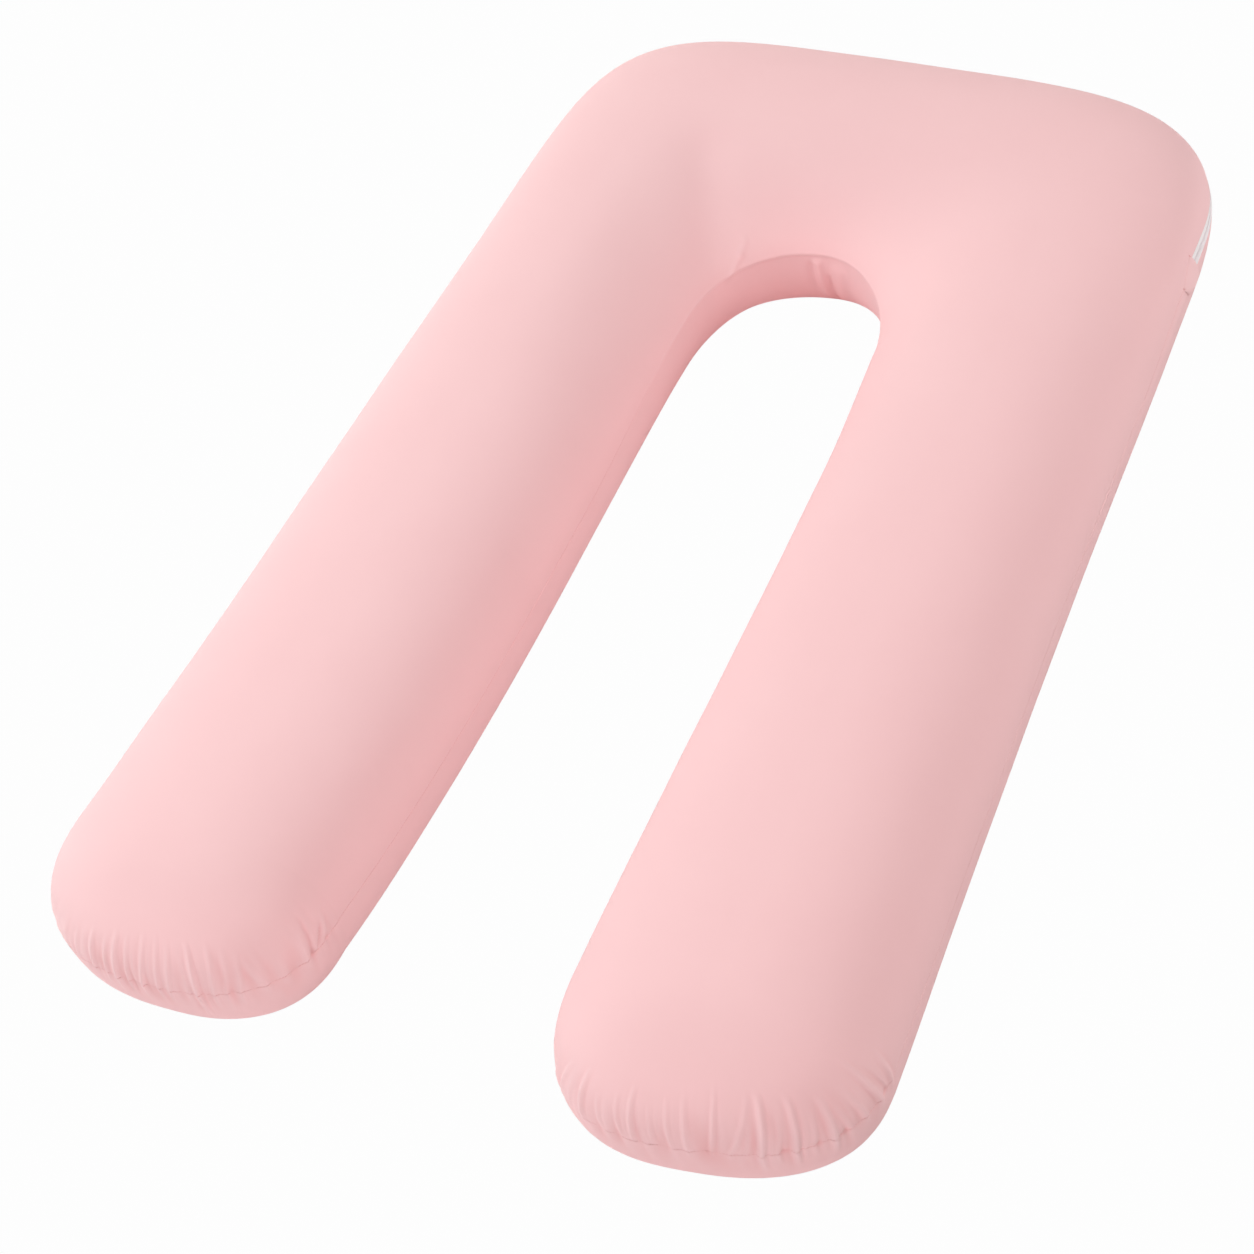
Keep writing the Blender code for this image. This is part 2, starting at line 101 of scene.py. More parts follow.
def legPair(leg, share):
    outer = (leg["side"] * legEdge(leg, "outer", share), mix(plan["outerSpringY"], leg["endY"], share))
    inner = (leg["side"] * legEdge(leg, "inner", share), mix(plan["gapSpringY"], leg["endY"], share))
    return outer, inner


def barPair(angle):
    c, s = math.cos(angle), math.sin(angle)
    left, right = plan["left"], plan["right"]
    rightness = 0.5 * (1 + math.tanh(plan["blend"] * c))
    near = right if c > 0 else left
    corner = mix(left["cornerPower"], right["cornerPower"], rightness)
    gap = mix(left["gapPower"], right["gapPower"], rightness)
    depth = plan["barEdgeY"] - plan["outerSpringY"]
    reach = ((abs(c) / near["outer"][0]) ** corner + (abs(s) / depth) ** corner) ** (-1 / corner)
    outer = (reach * c, plan["outerSpringY"] + reach * s + plan["barSlant"] * reach * c * s)
    inner = (near["inner"][0] * signedPower(c, 2 / gap),
             plan["gapSpringY"] + plan["gapRound"] * signedPower(s, 2 / gap))
    return outer, inner


# Outer and inner edge at u: 0 to 1 up the right leg, 1 to 2 round the bar, 2 to 3 down the left leg
def edgePair(u):
    if u < 1:
        return legPair(plan["right"], 1 - u)
    if u > 2:
        return legPair(plan["left"], u - 2)
    return barPair((u - 1) * math.pi)


# A leg's rounded end, angle 0 at its outer edge and pi at its inner edge
def endPoint(leg, angle):
    outer, inner = legEdge(leg, "outer", 1), legEdge(leg, "inner", 1)
    middle, half = (outer + inner) / 2, (outer - inner) / 2
    t = signedPower(math.cos(angle), 2 / leg["endPower"])
    v = signedPower(math.sin(angle), 2 / leg["endPower"])
    y = leg["endY"] - leg["endReach"] * v + leg["endSkew"] * t * v * half
    return leg["side"] * (middle + half * t), y


# Distance along a curve at many values of its parameter
def measured(curve, start, end, samples):
    values = np.linspace(start, end, samples)
    points = np.array([curve(v) for v in values])
    along = np.concatenate(([0.0], np.cumsum(np.linalg.norm(np.diff(points, axis=0), axis=1))))
    return values, along


outerValues, outerAlong = measured(lambda u: edgePair(u)[0], 0.0, 3.0, spacing["sideSamples"])
barZero = float(np.interp(1.0, outerValues, outerAlong))

# Marks of a column that isn't on the outer edge, and of one that isn't on the gap's edge
notOuter, notInner = -9.0, -1.0


# Columns of points that share one place on the seam, in arrays: seam point, middle of the tube there,
# distance along the bar's outer edge, u on the gap's edge, leg end (1 left, 2 right) and distance round it
def makeColumns(rows):
    names = ("seam", "middle", "bar", "innerU", "end", "along")
    columns = {name: np.array([row[i] for row in rows], float) for i, name in enumerate(names)}
    past = np.maximum(0.0, np.maximum(1 - columns["innerU"], columns["innerU"] - 2))
    ledge = 0.5 * (1 + np.cos(np.pi * np.minimum(1.0, past / section["ledgeFade"])))
    columns["ledge"] = np.where(columns["innerU"] != notInner, ledge, 0.0)
    outer = columns["bar"] != notOuter
    corner = np.exp(-((columns["bar"] - section["cornerRiseAt"]) / section["cornerRiseSpan"]) ** 2)
    rise = section["ledgeRise"] * columns["ledge"] + np.where(outer, section["cornerRise"] * corner, 0.0)
    columns["seamZ"] = section["seam"] + rise
    inside = np.minimum(columns["bar"] - zipRun["start"], zipRun["end"] - columns["bar"])
    columns["zip"] = np.clip(1 + inside / section["channelTaper"], 0.0, 1.0) * outer
    near = np.exp(-((columns["bar"] - section["cornerRiseAt"]) / section["leanSpan"]) ** 2)
    columns["lean"] = np.where(outer, section["lean"] * near, 0.0)
    return columns


# By the zip's corner the seam lies above the widest line, so the cover leans in above it and out below
def leanOff(lean, dz):
    return -lean * dz * np.exp(-(dz / section["leanReach"]) ** 2)


def outerRow(place):
    u = float(np.interp(place, outerAlong, outerValues))
    outer, inner = edgePair(u)
    middle = ((outer[0] + inner[0]) / 2, (outer[1] + inner[1]) / 2)
    return outer, inner, middle, u


# Columns at distances along the bar's outer edge
def outerColumns(distances):
    rows = []
    for distance in distances:
        outer, inner, middle, u = outerRow(distance + barZero)
        rows.append((outer, middle, distance, notInner, 0, 0.0))
    return makeColumns(rows)


def endRows(name, number, start, end, middle):
    leg = plan[name]
    values, along = measured(lambda a: endPoint(leg, a), start, end, spacing["endSamples"])
    places = np.linspace(0, along[-1], int(along[-1] / spacing["end"]) + 1)[1:-1]
    angles = np.interp(places, along, values)
    return [(endPoint(leg, a), middle, notOuter, notInner, number, p) for a, p in zip(angles, places)]


def wayOut(tangent):
    tangent = tangent / np.linalg.norm(tangent, axis=1)[:, None]
    return np.column_stack((tangent[:, 1], -tangent[:, 0]))


# One loop round the pillow: up the right outer edge, over the bar, down the left outer edge,
# round the left end, up and down the gap, and round the right end
def seamColumns():
    taper = section["channelTaper"]
    places = list(np.linspace(0, outerAlong[-1], int(outerAlong[-1] / spacing["side"])))
    for cut in (barZero + zipRun["start"], barZero + zipRun["end"]):
        places = [p for p in places if abs(p - cut) > spacing["zipEndClear"] * taper]
        places += [cut + step * taper for step in spacing["zipEndSteps"]]
    rows = [outerRow(p) + (p,) for p in sorted(places)]
    loop = [(outer, middle, p - barZero, notInner, 0, 0.0) for outer, inner, middle, u, p in rows]
    loop += endRows("left", 1, 0.0, math.pi, rows[-1][2])
    loop += [(inner, middle, notOuter, u, 0, 0.0) for outer, inner, middle, u, p in reversed(rows)]
    loop += endRows("right", 2, math.pi, 0.0, rows[0][2])
    columns = makeColumns(loop)
    columns["out"] = wayOut(np.roll(columns["seam"], -1, 0) - np.roll(columns["seam"], 1, 0))
    step = np.linalg.norm(np.roll(columns["seam"], -1, 0) - columns["seam"], axis=1)
    columns["loop"] = np.concatenate(([0.0], np.cumsum(step)[:-1]))
    return columns, len(rows)


# Section of the tube: rise 0 at the seam and 1 at the crown or base; points and the way out of the cover
def sectionAt(columns, rise, above, lift=None):
    high = section["crown"] - columns["seamZ"] if above else columns["seamZ"] + section["press"]
    ledge = columns["ledge"]
    power = section["topPower"] if above else mix(section["basePower"], section["ledgeBasePower"], ledge)
    share = np.maximum(0.0, 1 - rise ** power) ** (1 / power)
    if above:
        climbed = rise if lift is None else lift
        straight = section["ledgeStraight"] * ledge * (1 - (1 - climbed) ** section["ledgeEase"])
        z = columns["seamZ"] + high * mix(rise, 1 - share ** 2, straight)
    else:
        z = np.maximum(0.0, columns["seamZ"] - high * rise)
    reach = columns["seam"] - columns["middle"]
    width = np.linalg.norm(reach, axis=1)
    leaned = leanOff(columns["lean"], z - columns["seamZ"]) / width
    xy = columns["middle"] + reach * (share + leaned)[:, None]
    level, upright = share ** (power - 1) / width, rise ** (power - 1) / high
    size = np.hypot(level, upright)
    out = np.column_stack((reach / width[:, None] * (level / size)[:, None],
                           upright / size * (1 if above else -1)))
    return np.column_stack((xy, z)), out


# Gathers round the leg ends, where the longer panel edge is eased into the seam: along the end's seam
# from its -X side, lean at the fold's top, reach up and down from the seam, height of its crest, half width
gathers = {
    1: (
        (0.094, 0.003, 0.028, 0.014, 0.0010, 0.0034),
        (0.112, 0.004, 0.034, 0.016, 0.0014, 0.0032),
        (0.131, 0.006, 0.040, 0.020, 0.0016, 0.0036),
        (0.149, 0.007, 0.046, 0.024, 0.0021, 0.0036),
        (0.171, 0.005, 0.052, 0.034, 0.0034, 0.0038),
        (0.186, 0.008, 0.052, 0.030, 0.0027, 0.0034),
        (0.199, 0.007, 0.058, 0.034, 0.0034, 0.0038),
        (0.212, 0.008, 0.056, 0.036, 0.0032, 0.0034),
        (0.228, 0.012, 0.060, 0.032, 0.0034, 0.0038),
        (0.245, 0.011, 0.060, 0.030, 0.0029, 0.0034),
        (0.257, 0.012, 0.058, 0.026, 0.0022, 0.0034),
        (0.286, 0.005, 0.058, 0.050, 0.0048, 0.0040),
        (0.302, 0.012, 0.058, 0.030, 0.0022, 0.0036),
        (0.315, 0.013, 0.052, 0.030, 0.0022, 0.0042),
        (0.328, 0.012, 0.048, 0.024, 0.0019, 0.0036),
        (0.352, -0.010, 0.040, 0.022, 0.0018, 0.0052),
        (0.397, 0.006, 0.045, 0.016, 0.0026, 0.0046),
        (0.405, 0.008, 0.045, 0.014, -0.0028, 0.0034),
        (0.410, 0.024, 0.030, 0.012, -0.0024, 0.0034),
        (0.421, 0.016, 0.036, 0.014, 0.0022, 0.0042),
    ),
    2: (
        (0.106, 0.004, 0.040, 0.010, 0.0009, 0.0034),
        (0.122, 0.006, 0.052, 0.012, 0.0030, 0.0036),
        (0.137, 0.001, 0.044, 0.010, 0.0014, 0.0034),
        (0.154, -0.004, 0.058, 0.010, 0.0034, 0.0038),
        (0.176, -0.007, 0.046, 0.008, 0.0018, 0.0034),
        (0.195, -0.007, 0.052, 0.008, 0.0020, 0.0030),
        (0.207, -0.005, 0.060, 0.008, 0.0030, 0.0034),
        (0.226, -0.005, 0.050, 0.008, 0.0016, 0.0034),
        (0.241, -0.004, 0.056, 0.008, 0.0020, 0.0032),
        (0.256, -0.002, 0.060, 0.009, 0.0022, 0.0036),
        (0.276, 0.010, 0.066, 0.010, 0.0028, 0.0032),
        (0.293, 0.026, 0.062, 0.012, 0.0026, 0.0036),
        (0.306, 0.010, 0.044, 0.014, 0.0016, 0.0030),
        (0.319, 0.011, 0.062, 0.034, 0.0052, 0.0046),
        (0.334, 0.009, 0.046, 0.022, 0.0020, 0.0032),
        (0.349, 0.008, 0.056, 0.030, 0.0050, 0.0044),
        (0.366, 0.006, 0.040, 0.020, 0.0024, 0.0034),
        (0.384, 0.000, 0.050, 0.028, 0.0044, 0.0044),
        (0.400, -0.006, 0.040, 0.018, 0.0022, 0.0038),
        (0.418, -0.012, 0.048, 0.018, 0.0024, 0.0040),
        (0.438, -0.015, 0.060, 0.018, 0.0034, 0.0042),
        (0.447, -0.012, 0.048, 0.008, -0.0016, 0.0032),
        (0.459, -0.004, 0.044, 0.018, 0.0028, 0.0042),
    ),
}

# All folds share a scale of width and height; one that reaches little below the seam is faint at the seam too
# A crest's hollows, one narrow along each side and one broad, in shares of its half width and its height
foldScale = {"half": 0.80, "high": 0.92, "fullDown": 0.030, "faintest": 0.30, "fullSlope": 3,
             "fadePower": 0.6, "crestPower": 1.5, "sideAt": 1.5, "sideHalf": 0.6, "sideDeep": 0.30,
             "broadHalf": 2.6, "broadDeep": 0.12}

# Fine uneven easing between the gathers: pitch along the seam, height, reach up and down, and where it runs
easing = {"pitch": 0.0095, "stretch": 0.050, "seed": 7.3, "high": 0.0022, "up": 0.056, "down": 0.040,
          "from": 0.070, "to": 0.460, "fade": 0.050}

# Small tucks where the panel edge is caught in the seam: along, height above the seam, depth, radius
tucks = {
    1: ((0.156, 0.003, 0.0010, 0.0036), (0.406, 0.001, 0.0010, 0.0044), (0.425, 0.002, 0.0010, 0.0036)),
    2: ((0.118, 0.012, 0.0007, 0.0042), (0.340, 0.001, 0.0010, 0.0036), (0.369, 0.001, 0.0012, 0.0040),
        (0.394, 0.001, 0.0013, 0.0040), (0.446, 0.002, 0.0012, 0.0040)),
}

# Painted light and shade added to the cover's colour: above 0 a painted highlight on a crest and along the
# gap's lip, and below 0 painted shade in a hollow, in a tuck and on the wall round the gap's end, less on the
# wall's left side and least on its right
paintedShading = {"crestHigh": 0.0030, "hollow": 3.2, "tuck": 700.0, "darkest": -2.0, "lightest": 1.0,
           "wall": 6.6, "wallTop": 0.05, "wallFade": 1.5, "wallMiddle": 0.95, "wallLeft": 0.45,
           "wallRight": 0.9, "wallLeast": 0.05, "lip": 0.6, "lipReach": 0.003,
           "change": (0.018, 0.078, 0.080)}


def easeLift(along, distance, name, above):
    signed = distance if above else -distance
    seed = easing["seed"] * name
    wave = np.array([noise.noise(Vector((a / easing["pitch"], d / easing["stretch"], seed)))
                     for a, d in zip(along, signed)])
    ends = np.minimum(along - easing["from"], easing["to"] - along) / easing["fade"]
    share = np.clip(distance / easing["up" if above else "down"], 0, 1)
    return easing["high"] * wave * np.clip(ends, 0, 1) * (1 - share)


def tuckDepth(columns, signed):
    depth = np.zeros(len(columns["along"]))
    for name, rows in tucks.items():
        for along, height, deep, radius in rows:
            away = ((columns["along"] - along) / radius) ** 2 + ((signed - height) / radius) ** 2
            depth += (columns["end"] == name) * deep * np.exp(-away)
    return depth


# A crest with a narrow hollow along each side of it
def crestShape(across):
    side = np.exp(-((across - foldScale["sideAt"]) / foldScale["sideHalf"]) ** 2)
    broad = np.exp(-(across / foldScale["broadHalf"]) ** 2)
    hollows = foldScale["sideDeep"] * side + foldScale["broadDeep"] * broad
    return np.exp(-across ** foldScale["crestPower"]) - hollows


def foldLift(columns, distance, above):
    lift = -tuckDepth(columns, distance if above else -distance)
    for name, rows in gathers.items():
        here = columns["end"] == name
        for along, lean, up, down, high, half in rows:
            share = np.clip(distance / (up if above else down), 0, 1)
            shift = lean * share if above else 0.0
            across = np.abs(columns["along"] - along - shift) / (half * foldScale["half"])
            atSeam = min(1.0, max(foldScale["faintest"], down / foldScale["fullDown"]))
            fade = atSeam * (1 - share)
            if above:
                full = np.minimum(1.0, foldScale["fullSlope"] * share)
                fade = mix(atSeam, 1.0, full) * (1 - share) ** foldScale["fadePower"]
            lift += here * high * foldScale["high"] * crestShape(across) * fade
        if here.any():
            lift += here * easeLift(columns["along"], distance * np.ones(len(lift)), name, above)
    return lift


# Painted light and shade at each point: lighter on a fold's crest and on the gap's lip, darker in hollows and
# tucks and down the gap's wall
def paintedLightAndShadeAt(columns, fold, distance, z, above):
    tone = fold / paintedShading["crestHigh"]
    tone = np.where(tone < 0, paintedShading["hollow"] * tone, tone)
    tone = tone - paintedShading["tuck"] * tuckDepth(columns, distance if above else -distance)
    tone = np.clip(tone, paintedShading["darkest"], paintedShading["lightest"])
    if above:
        return tone + paintedShading["lip"] * columns["ledge"] * np.exp(-(distance / paintedShading["lipReach"]) ** 2)
    low = np.clip(1 - z / columns["seamZ"], 0, 1)
    turned = columns["out"][:, 0]
    less = np.where(turned > 0, paintedShading["wallLeft"], paintedShading["wallRight"]) * np.abs(turned)
    side = np.clip(paintedShading["wallMiddle"] - less, paintedShading["wallLeast"], 1.0)
    down = mix(paintedShading["wallTop"], 1.0, low ** paintedShading["wallFade"])
    return tone - paintedShading["wall"] * columns["ledge"] ** 2 * side * down


# Dips and creases away from the seam, each round a segment: start, end, half width, height out of the cover
creases = {
    "legDip": ((-0.168, 0.452, 0.187), (-0.110, 0.330, 0.150), 0.030, -0.0046),
    "shoulderCrease": ((-0.089, 0.366, 0.137), (-0.0905, 0.351, 0.129), 0.0034, 0.0016),
    "shoulderCreaseEnd": ((-0.0905, 0.351, 0.129), (-0.096, 0.322, 0.113), 0.0034, 0.0014),
    "archRidge": ((-0.0125, 0.3840, 0.104), (-0.0100, 0.3925, 0.050), 0.0056, 0.0030),
    "archCrease": ((-0.0020, 0.3858, 0.080), (-0.0040, 0.4010, 0.034), 0.0040, -0.0036),
    "archTuck": ((-0.021, 0.3835, 0.100), (-0.0225, 0.3860, 0.070), 0.0046, -0.0026),
    "archFold": ((0.012, 0.3835, 0.095), (0.010, 0.3920, 0.050), 0.0090, 0.0026),
}


def creaseLift(points):
    lift = np.zeros(len(points))
    for start, end, half, high in creases.values():
        start, way = np.array(start), np.array(end) - np.array(start)
        share = np.clip((points - start) @ way / (way @ way), 0, 1)
        away = np.linalg.norm(points - start - share[:, None] * way, axis=1)
        lift += high * np.exp(-(away / half) ** 2)
    return lift


# The stuffing's soft unevenness, small puckers that the seam's thread draws, and the rolled lip over the gap
softness = {"lumpSize": 0.115, "lumpHigh": 0.0007, "puckerPitch": 0.014, "puckerHigh": 0.00035,
            "puckerReach": 0.008, "seed": 0.3, "belowSeed": 50.0, "fades": 0.02, "lipHigh": 0.0008,
            "lipAt": 0.003, "lipHalf": 0.0028}


def lumpLift(points):
    size = softness["lumpSize"]
    return softness["lumpHigh"] * np.array([noise.noise(Vector(p / size)) for p in points])


def puckerLift(columns, distance, above):
    side = 0.0 if above else softness["belowSeed"]
    pitch = softness["puckerPitch"]
    wave = np.array([noise.noise(Vector((a / pitch, side, softness["seed"]))) for a in columns["loop"]])
    return wave * softness["puckerHigh"] * np.exp(-distance / softness["puckerReach"])


# One ring of points round the pillow: lift 0 at the groove's lip and 1 at the crown or base
def ringPoints(columns, lift, above):
    high = section["crown"] - columns["seamZ"] if above else columns["seamZ"] + section["press"]
    half = mix(section["grooveHalf"], section["channelHalf"], columns["zip"])
    rise = half / high + (1 - half / high) * lift
    points, out = sectionAt(columns, rise, above, lift)
    distance = np.abs(points[:, 2] - columns["seamZ"])
    fold = foldLift(columns, distance, above)
    # Painted light and shade for this ring's colour, from its folds, tucks and place on the gap's wall
    tone = paintedLightAndShadeAt(columns, fold, distance, points[:, 2], above)
    raised = fold + creaseLift(points) + lumpLift(points) + puckerLift(columns, distance, above)
    if above:
        lip = np.exp(-((distance - softness["lipAt"]) / softness["lipHalf"]) ** 2)
        raised += softness["lipHigh"] * columns["ledge"] * lip
    else:
        raised *= np.clip(points[:, 2] / softness["fades"], 0, 1)
    points += out * raised[:, None]
    points[:, 2] = np.maximum(0.0, points[:, 2])
    return points, tone


# The groove's section in shares of its half height and its depth; the zip's channel has squarer sides
grooveRows = ((1.0, 0.0), (0.72, 0.35), (0.38, 0.9), (-0.38, 0.9), (-0.72, 0.35), (-1.0, 0.0))


def groovePoints(columns, height, depthShare):
    half = mix(section["grooveHalf"], section["channelHalf"], columns["zip"])
    depth = mix(section["grooveDepth"], section["channelDepth"], columns["zip"])
    depth *= 1 - section["grooveShallow"] * columns["ledge"]
    puff = foldLift(columns, 0.0, True)
    wide = math.copysign(abs(height) ** section["channelSquare"], height)
    dz = half * np.where(columns["zip"] > 0.5, wide, height)
    off = puff * (1 - depthShare / 2) - depth * depthShare + leanOff(columns["lean"], dz)
    points = np.column_stack((columns["seam"] + columns["out"] * off[:, None], columns["seamZ"] + dz))
    # Also returns the painted light and shade along the groove
    return points, paintedLightAndShadeAt(columns, puff, 0.0, points[:, 2], height > 0)


# Where each point lies on its flat cut panel, so that the knit runs as the cloth was cut
def panelPlace(columns, rings):
    places = []
    reach = columns["seam"] - columns["middle"]
    reach /= np.linalg.norm(reach, axis=1)[:, None]
    walked = np.zeros(len(reach))
    before = np.column_stack((columns["middle"], np.full(len(reach), section["crown"])))
    for here in rings:
        walked = walked + np.linalg.norm(here - before, axis=1)
        places.append(columns["middle"] + reach * walked[:, None])
        before = here
    return places


def buildPillow(columns, pairs):
    topAngles = np.radians(np.arange(90, spacing["topLast"], -spacing["topStep"])[1:])
    baseAngles = np.radians(np.arange(spacing["baseFirst"], spacing["baseLast"], spacing["baseStep"]))
    lips = set(spacing["lips"])
    topLifts = sorted(set(np.sin(topAngles) ** (2 / section["topPower"])) | lips, reverse=True)
    baseLifts = sorted(set(np.sin(baseAngles) ** (2 / section["basePower"])) | lips)
    made = [ringPoints(columns, lift, True) for lift in topLifts]
    made += [groovePoints(columns, height, deep) for height, deep in grooveRows]
    made += [ringPoints(columns, lift, False) for lift in baseLifts]
    rings = [ring for ring, tone in made]
    # Painted light and shade per point, none at the crown and base
    paintedLightAndShadeValues = [np.zeros(2 * pairs)] + [tone for ring, tone in made]
    middles = columns["middle"][:pairs]
    crown = np.column_stack((middles, np.full(pairs, section["crown"])))
    crown[:, 2] += creaseLift(crown) + lumpLift(crown)
    base = np.column_stack((middles, np.zeros(pairs)))
    places = [middles, middles] + panelPlace(columns, rings)
    count = len(columns["seam"])
    points = np.concatenate([crown, base] + rings)
    spineOf = np.argmin(np.linalg.norm(columns["middle"][:, None, :] - middles[None, :, :], axis=2), axis=1)
    here = np.arange(count)
    there = (here + 1) % count
    faces = []
    for k in range(len(rings) - 1):
        a, b = 2 * pairs + k * count, 2 * pairs + (k + 1) * count
        faces += np.column_stack((a + here, b + here, b + there, a + there)).tolist()
    first, last = 2 * pairs, 2 * pairs + (len(rings) - 1) * count
    for i, j in zip(here.tolist(), there.tolist()):
        p, q = int(spineOf[i]), int(spineOf[j])
        faces.append([p, first + i, first + j] if p == q else [p, first + i, first + j, q])
        low = [pairs + p, last + j, last + i] if p == q else [pairs + q, last + j, last + i, pairs + p]
        faces.append(low)
    return points, faces, np.concatenate(places), np.concatenate(paintedLightAndShadeValues)


# The frame's origin is the middle of the pillow's box
def centred(points):
    return np.asarray(points) - np.array([shift[0], shift[1], 0.0])


def linked(name, data):
    thing = bpy.data.objects.new(name, data)
    bpy.context.scene.collection.objects.link(thing)
    return thing


def meshObject(name, points, faces, uv=None, smooth=True):
    data = bpy.data.meshes.new(name)
    data.from_pydata([tuple(p) for p in points], [], faces)
    data.update()
    if uv is not None:
        corners = np.zeros(len(data.loops), np.int32)
        data.loops.foreach_get("vertex_index", corners)
        data.uv_layers.new(name="clothPlace").data.foreach_set("uv", np.asarray(uv)[corners].ravel())
    if smooth:
        shell = bmesh.new()
        shell.from_mesh(data)
        bmesh.ops.recalc_face_normals(shell, faces=shell.faces)
        shell.to_mesh(data)
        shell.free()
        data.shade_smooth()
    return linked(name, data)


columns, pairCount = seamColumns()
points, faces, places, paintedLightAndShadeValues = buildPillow(columns, pairCount)
shift = (points.min(axis=0) + points.max(axis=0)) / 2 - (np.array(cadLow) + np.array(cadHigh)) / 2
pillow = meshObject("pillowBody", centred(points), faces, uv=places)
# The painted light and shade goes on the cover as a point attribute that its material reads
paintedLightAndShade = pillow.data.attributes.new("paintedLightAndShade", "FLOAT", "POINT")
paintedLightAndShade.data.foreach_set("value", paintedLightAndShadeValues.astype(np.float32))
print("pillow body", len(points), "points", len(faces), "faces")


# Shader helpers
def addNode(tree, kind, place, **settings):
    made = tree.nodes.new(kind)
    made.location = place
    for key, value in settings.items():
        setattr(made, key, value)
    return made


def mathNode(tree, operation, place, first, second=None):
    made = addNode(tree, "ShaderNodeMath", place, operation=operation)
    for socket, value in zip(made.inputs, (first, second)):
        if value is None:
            continue
        if isinstance(value, (int, float)):
            socket.default_value = value
        else:
            tree.links.new(value, socket)
    return made.outputs[0]


def setInputs(node, values):
    for key, value in values.items():
        node.inputs[key].default_value = value


def newMaterial(name):
    material = bpy.data.materials.new(name)
    material.use_nodes = True
    tree = material.node_tree
    tree.nodes.clear()
    output = addNode(tree, "ShaderNodeOutputMaterial", (700, 0))
    shader = addNode(tree, "ShaderNodeBsdfPrincipled", (400, 0))
    tree.links.new(shader.outputs["BSDF"], output.inputs["Surface"])
    return material, tree, shader


def newGroup(name, inputs, outputs):
    tree = bpy.data.node_groups.new(name, "ShaderNodeTree")
    for label, kind, value in inputs:
        socket = tree.interface.new_socket(name=label, in_out="INPUT", socket_type=kind)
        if value is not None:
            socket.default_value = value
    for label, kind in outputs:
        tree.interface.new_socket(name=label, in_out="OUTPUT", socket_type=kind)
    start = addNode(tree, "NodeGroupInput", (-900, 0))
    end = addNode(tree, "NodeGroupOutput", (700, 0))
    return tree, start.outputs, end.inputs


knitShape = {"slant": 0.6, "loopDeep": 1.2}


# Face of a fine single jersey: rows of small V shaped loops, as a height
def knitGroup():
    tree, given, made = newGroup(
        "knitFace",
        (("Place", "NodeSocketVector", None), ("Wale", "NodeSocketFloat", 0.0009),
         ("Course", "NodeSocketFloat", 0.0007)),
        (("Height", "NodeSocketFloat"),))
    split = addNode(tree, "ShaderNodeSeparateXYZ", (-700, 0))
    tree.links.new(given["Place"], split.inputs[0])
    across = mathNode(tree, "DIVIDE", (-520, 120), split.outputs["X"], given["Wale"])
    wale = mathNode(tree, "FRACT", (-360, 120), across)
    offWale = mathNode(tree, "ABSOLUTE", (-120, 120), mathNode(tree, "SUBTRACT", (-200, 120), wale, 0.5))
    side = mathNode(tree, "MULTIPLY", (-40, 120), offWale, 2.0)
    ridge = mathNode(tree, "SUBTRACT", (120, 160), 1.0, mathNode(tree, "POWER", (40, 160), side, 2.0))
    rows = mathNode(tree, "DIVIDE", (-520, -120), split.outputs["Y"], given["Course"])
    slant = mathNode(tree, "MULTIPLY", (-440, -200), side, knitShape["slant"])
    course = mathNode(tree, "FRACT", (-280, -120), mathNode(tree, "ADD", (-360, -120), rows, slant))
    offCourse = mathNode(tree, "ABSOLUTE", (-120, -120), mathNode(tree, "SUBTRACT", (-200, -120), course, 0.5))
    deep = mathNode(tree, "MULTIPLY", (-40, -120), offCourse, knitShape["loopDeep"])
    loop = mathNode(tree, "SUBTRACT", (40, -120), 1.0, deep)
    tree.links.new(mathNode(tree, "MULTIPLY", (300, 0), ridge, loop), made["Height"])
    return tree


toneNoise = {"detail": 2.0, "fleckScale": 420.0}


# Slow change of a cloth's colour between two tones
def toneGroup():
    tree, given, made = newGroup(
        "clothTone",
        (("Light", "NodeSocketColor", None), ("Deep", "NodeSocketColor", None),
         ("Patch", "NodeSocketFloat", 0.11), ("Fleck", "NodeSocketFloat", 0.25)),
        (("Color", "NodeSocketColor"),))
    spot = addNode(tree, "ShaderNodeTexCoord", (-900, -300))
    slow = addNode(tree, "ShaderNodeTexNoise", (-500, 100))
    tree.links.new(mathNode(tree, "DIVIDE", (-700, 100), 1.0, given["Patch"]), slow.inputs["Scale"])
    quick = addNode(tree, "ShaderNodeTexNoise", (-500, -200))
    setInputs(quick, {"Scale": toneNoise["fleckScale"]})
    for texture in (slow, quick):
        setInputs(texture, {"Detail": toneNoise["detail"]})
        tree.links.new(spot.outputs["Object"], texture.inputs["Vector"])
    flecks = mathNode(tree, "MULTIPLY", (-280, -200), quick.outputs["Fac"], given["Fleck"])
    change = mathNode(tree, "ADD", (-120, 0), slow.outputs["Fac"], flecks)
    blend = addNode(tree, "ShaderNodeMix", (120, 100), data_type="RGBA")
    tree.links.new(change, blend.inputs["Factor"])
    tree.links.new(given["Light"], blend.inputs["A"])
    tree.links.new(given["Deep"], blend.inputs["B"])
    tree.links.new(blend.outputs["Result"], made["Color"])
    return tree


knitFace, clothTone = knitGroup(), toneGroup()


def groupNode(tree, group, place, **values):
    made = addNode(tree, "ShaderNodeGroup", place, node_tree=group)
    setInputs(made, values)
    return made


jersey = {"light": (0.915, 0.592, 0.603, 1), "deep": (0.90, 0.565, 0.578, 1),
          "tabLight": (0.93, 0.62, 0.63, 1), "wale": 0.0009, "course": 0.0007, "knitDepth": 0.00010,
          "bump": 0.5}
jerseyFinish = {"Roughness": 0.85, "Specular IOR Level": 0.2, "Sheen Weight": 0.06, "Sheen Roughness": 0.5,
                "Sheen Tint": (1.0, 0.85, 0.85, 1)}


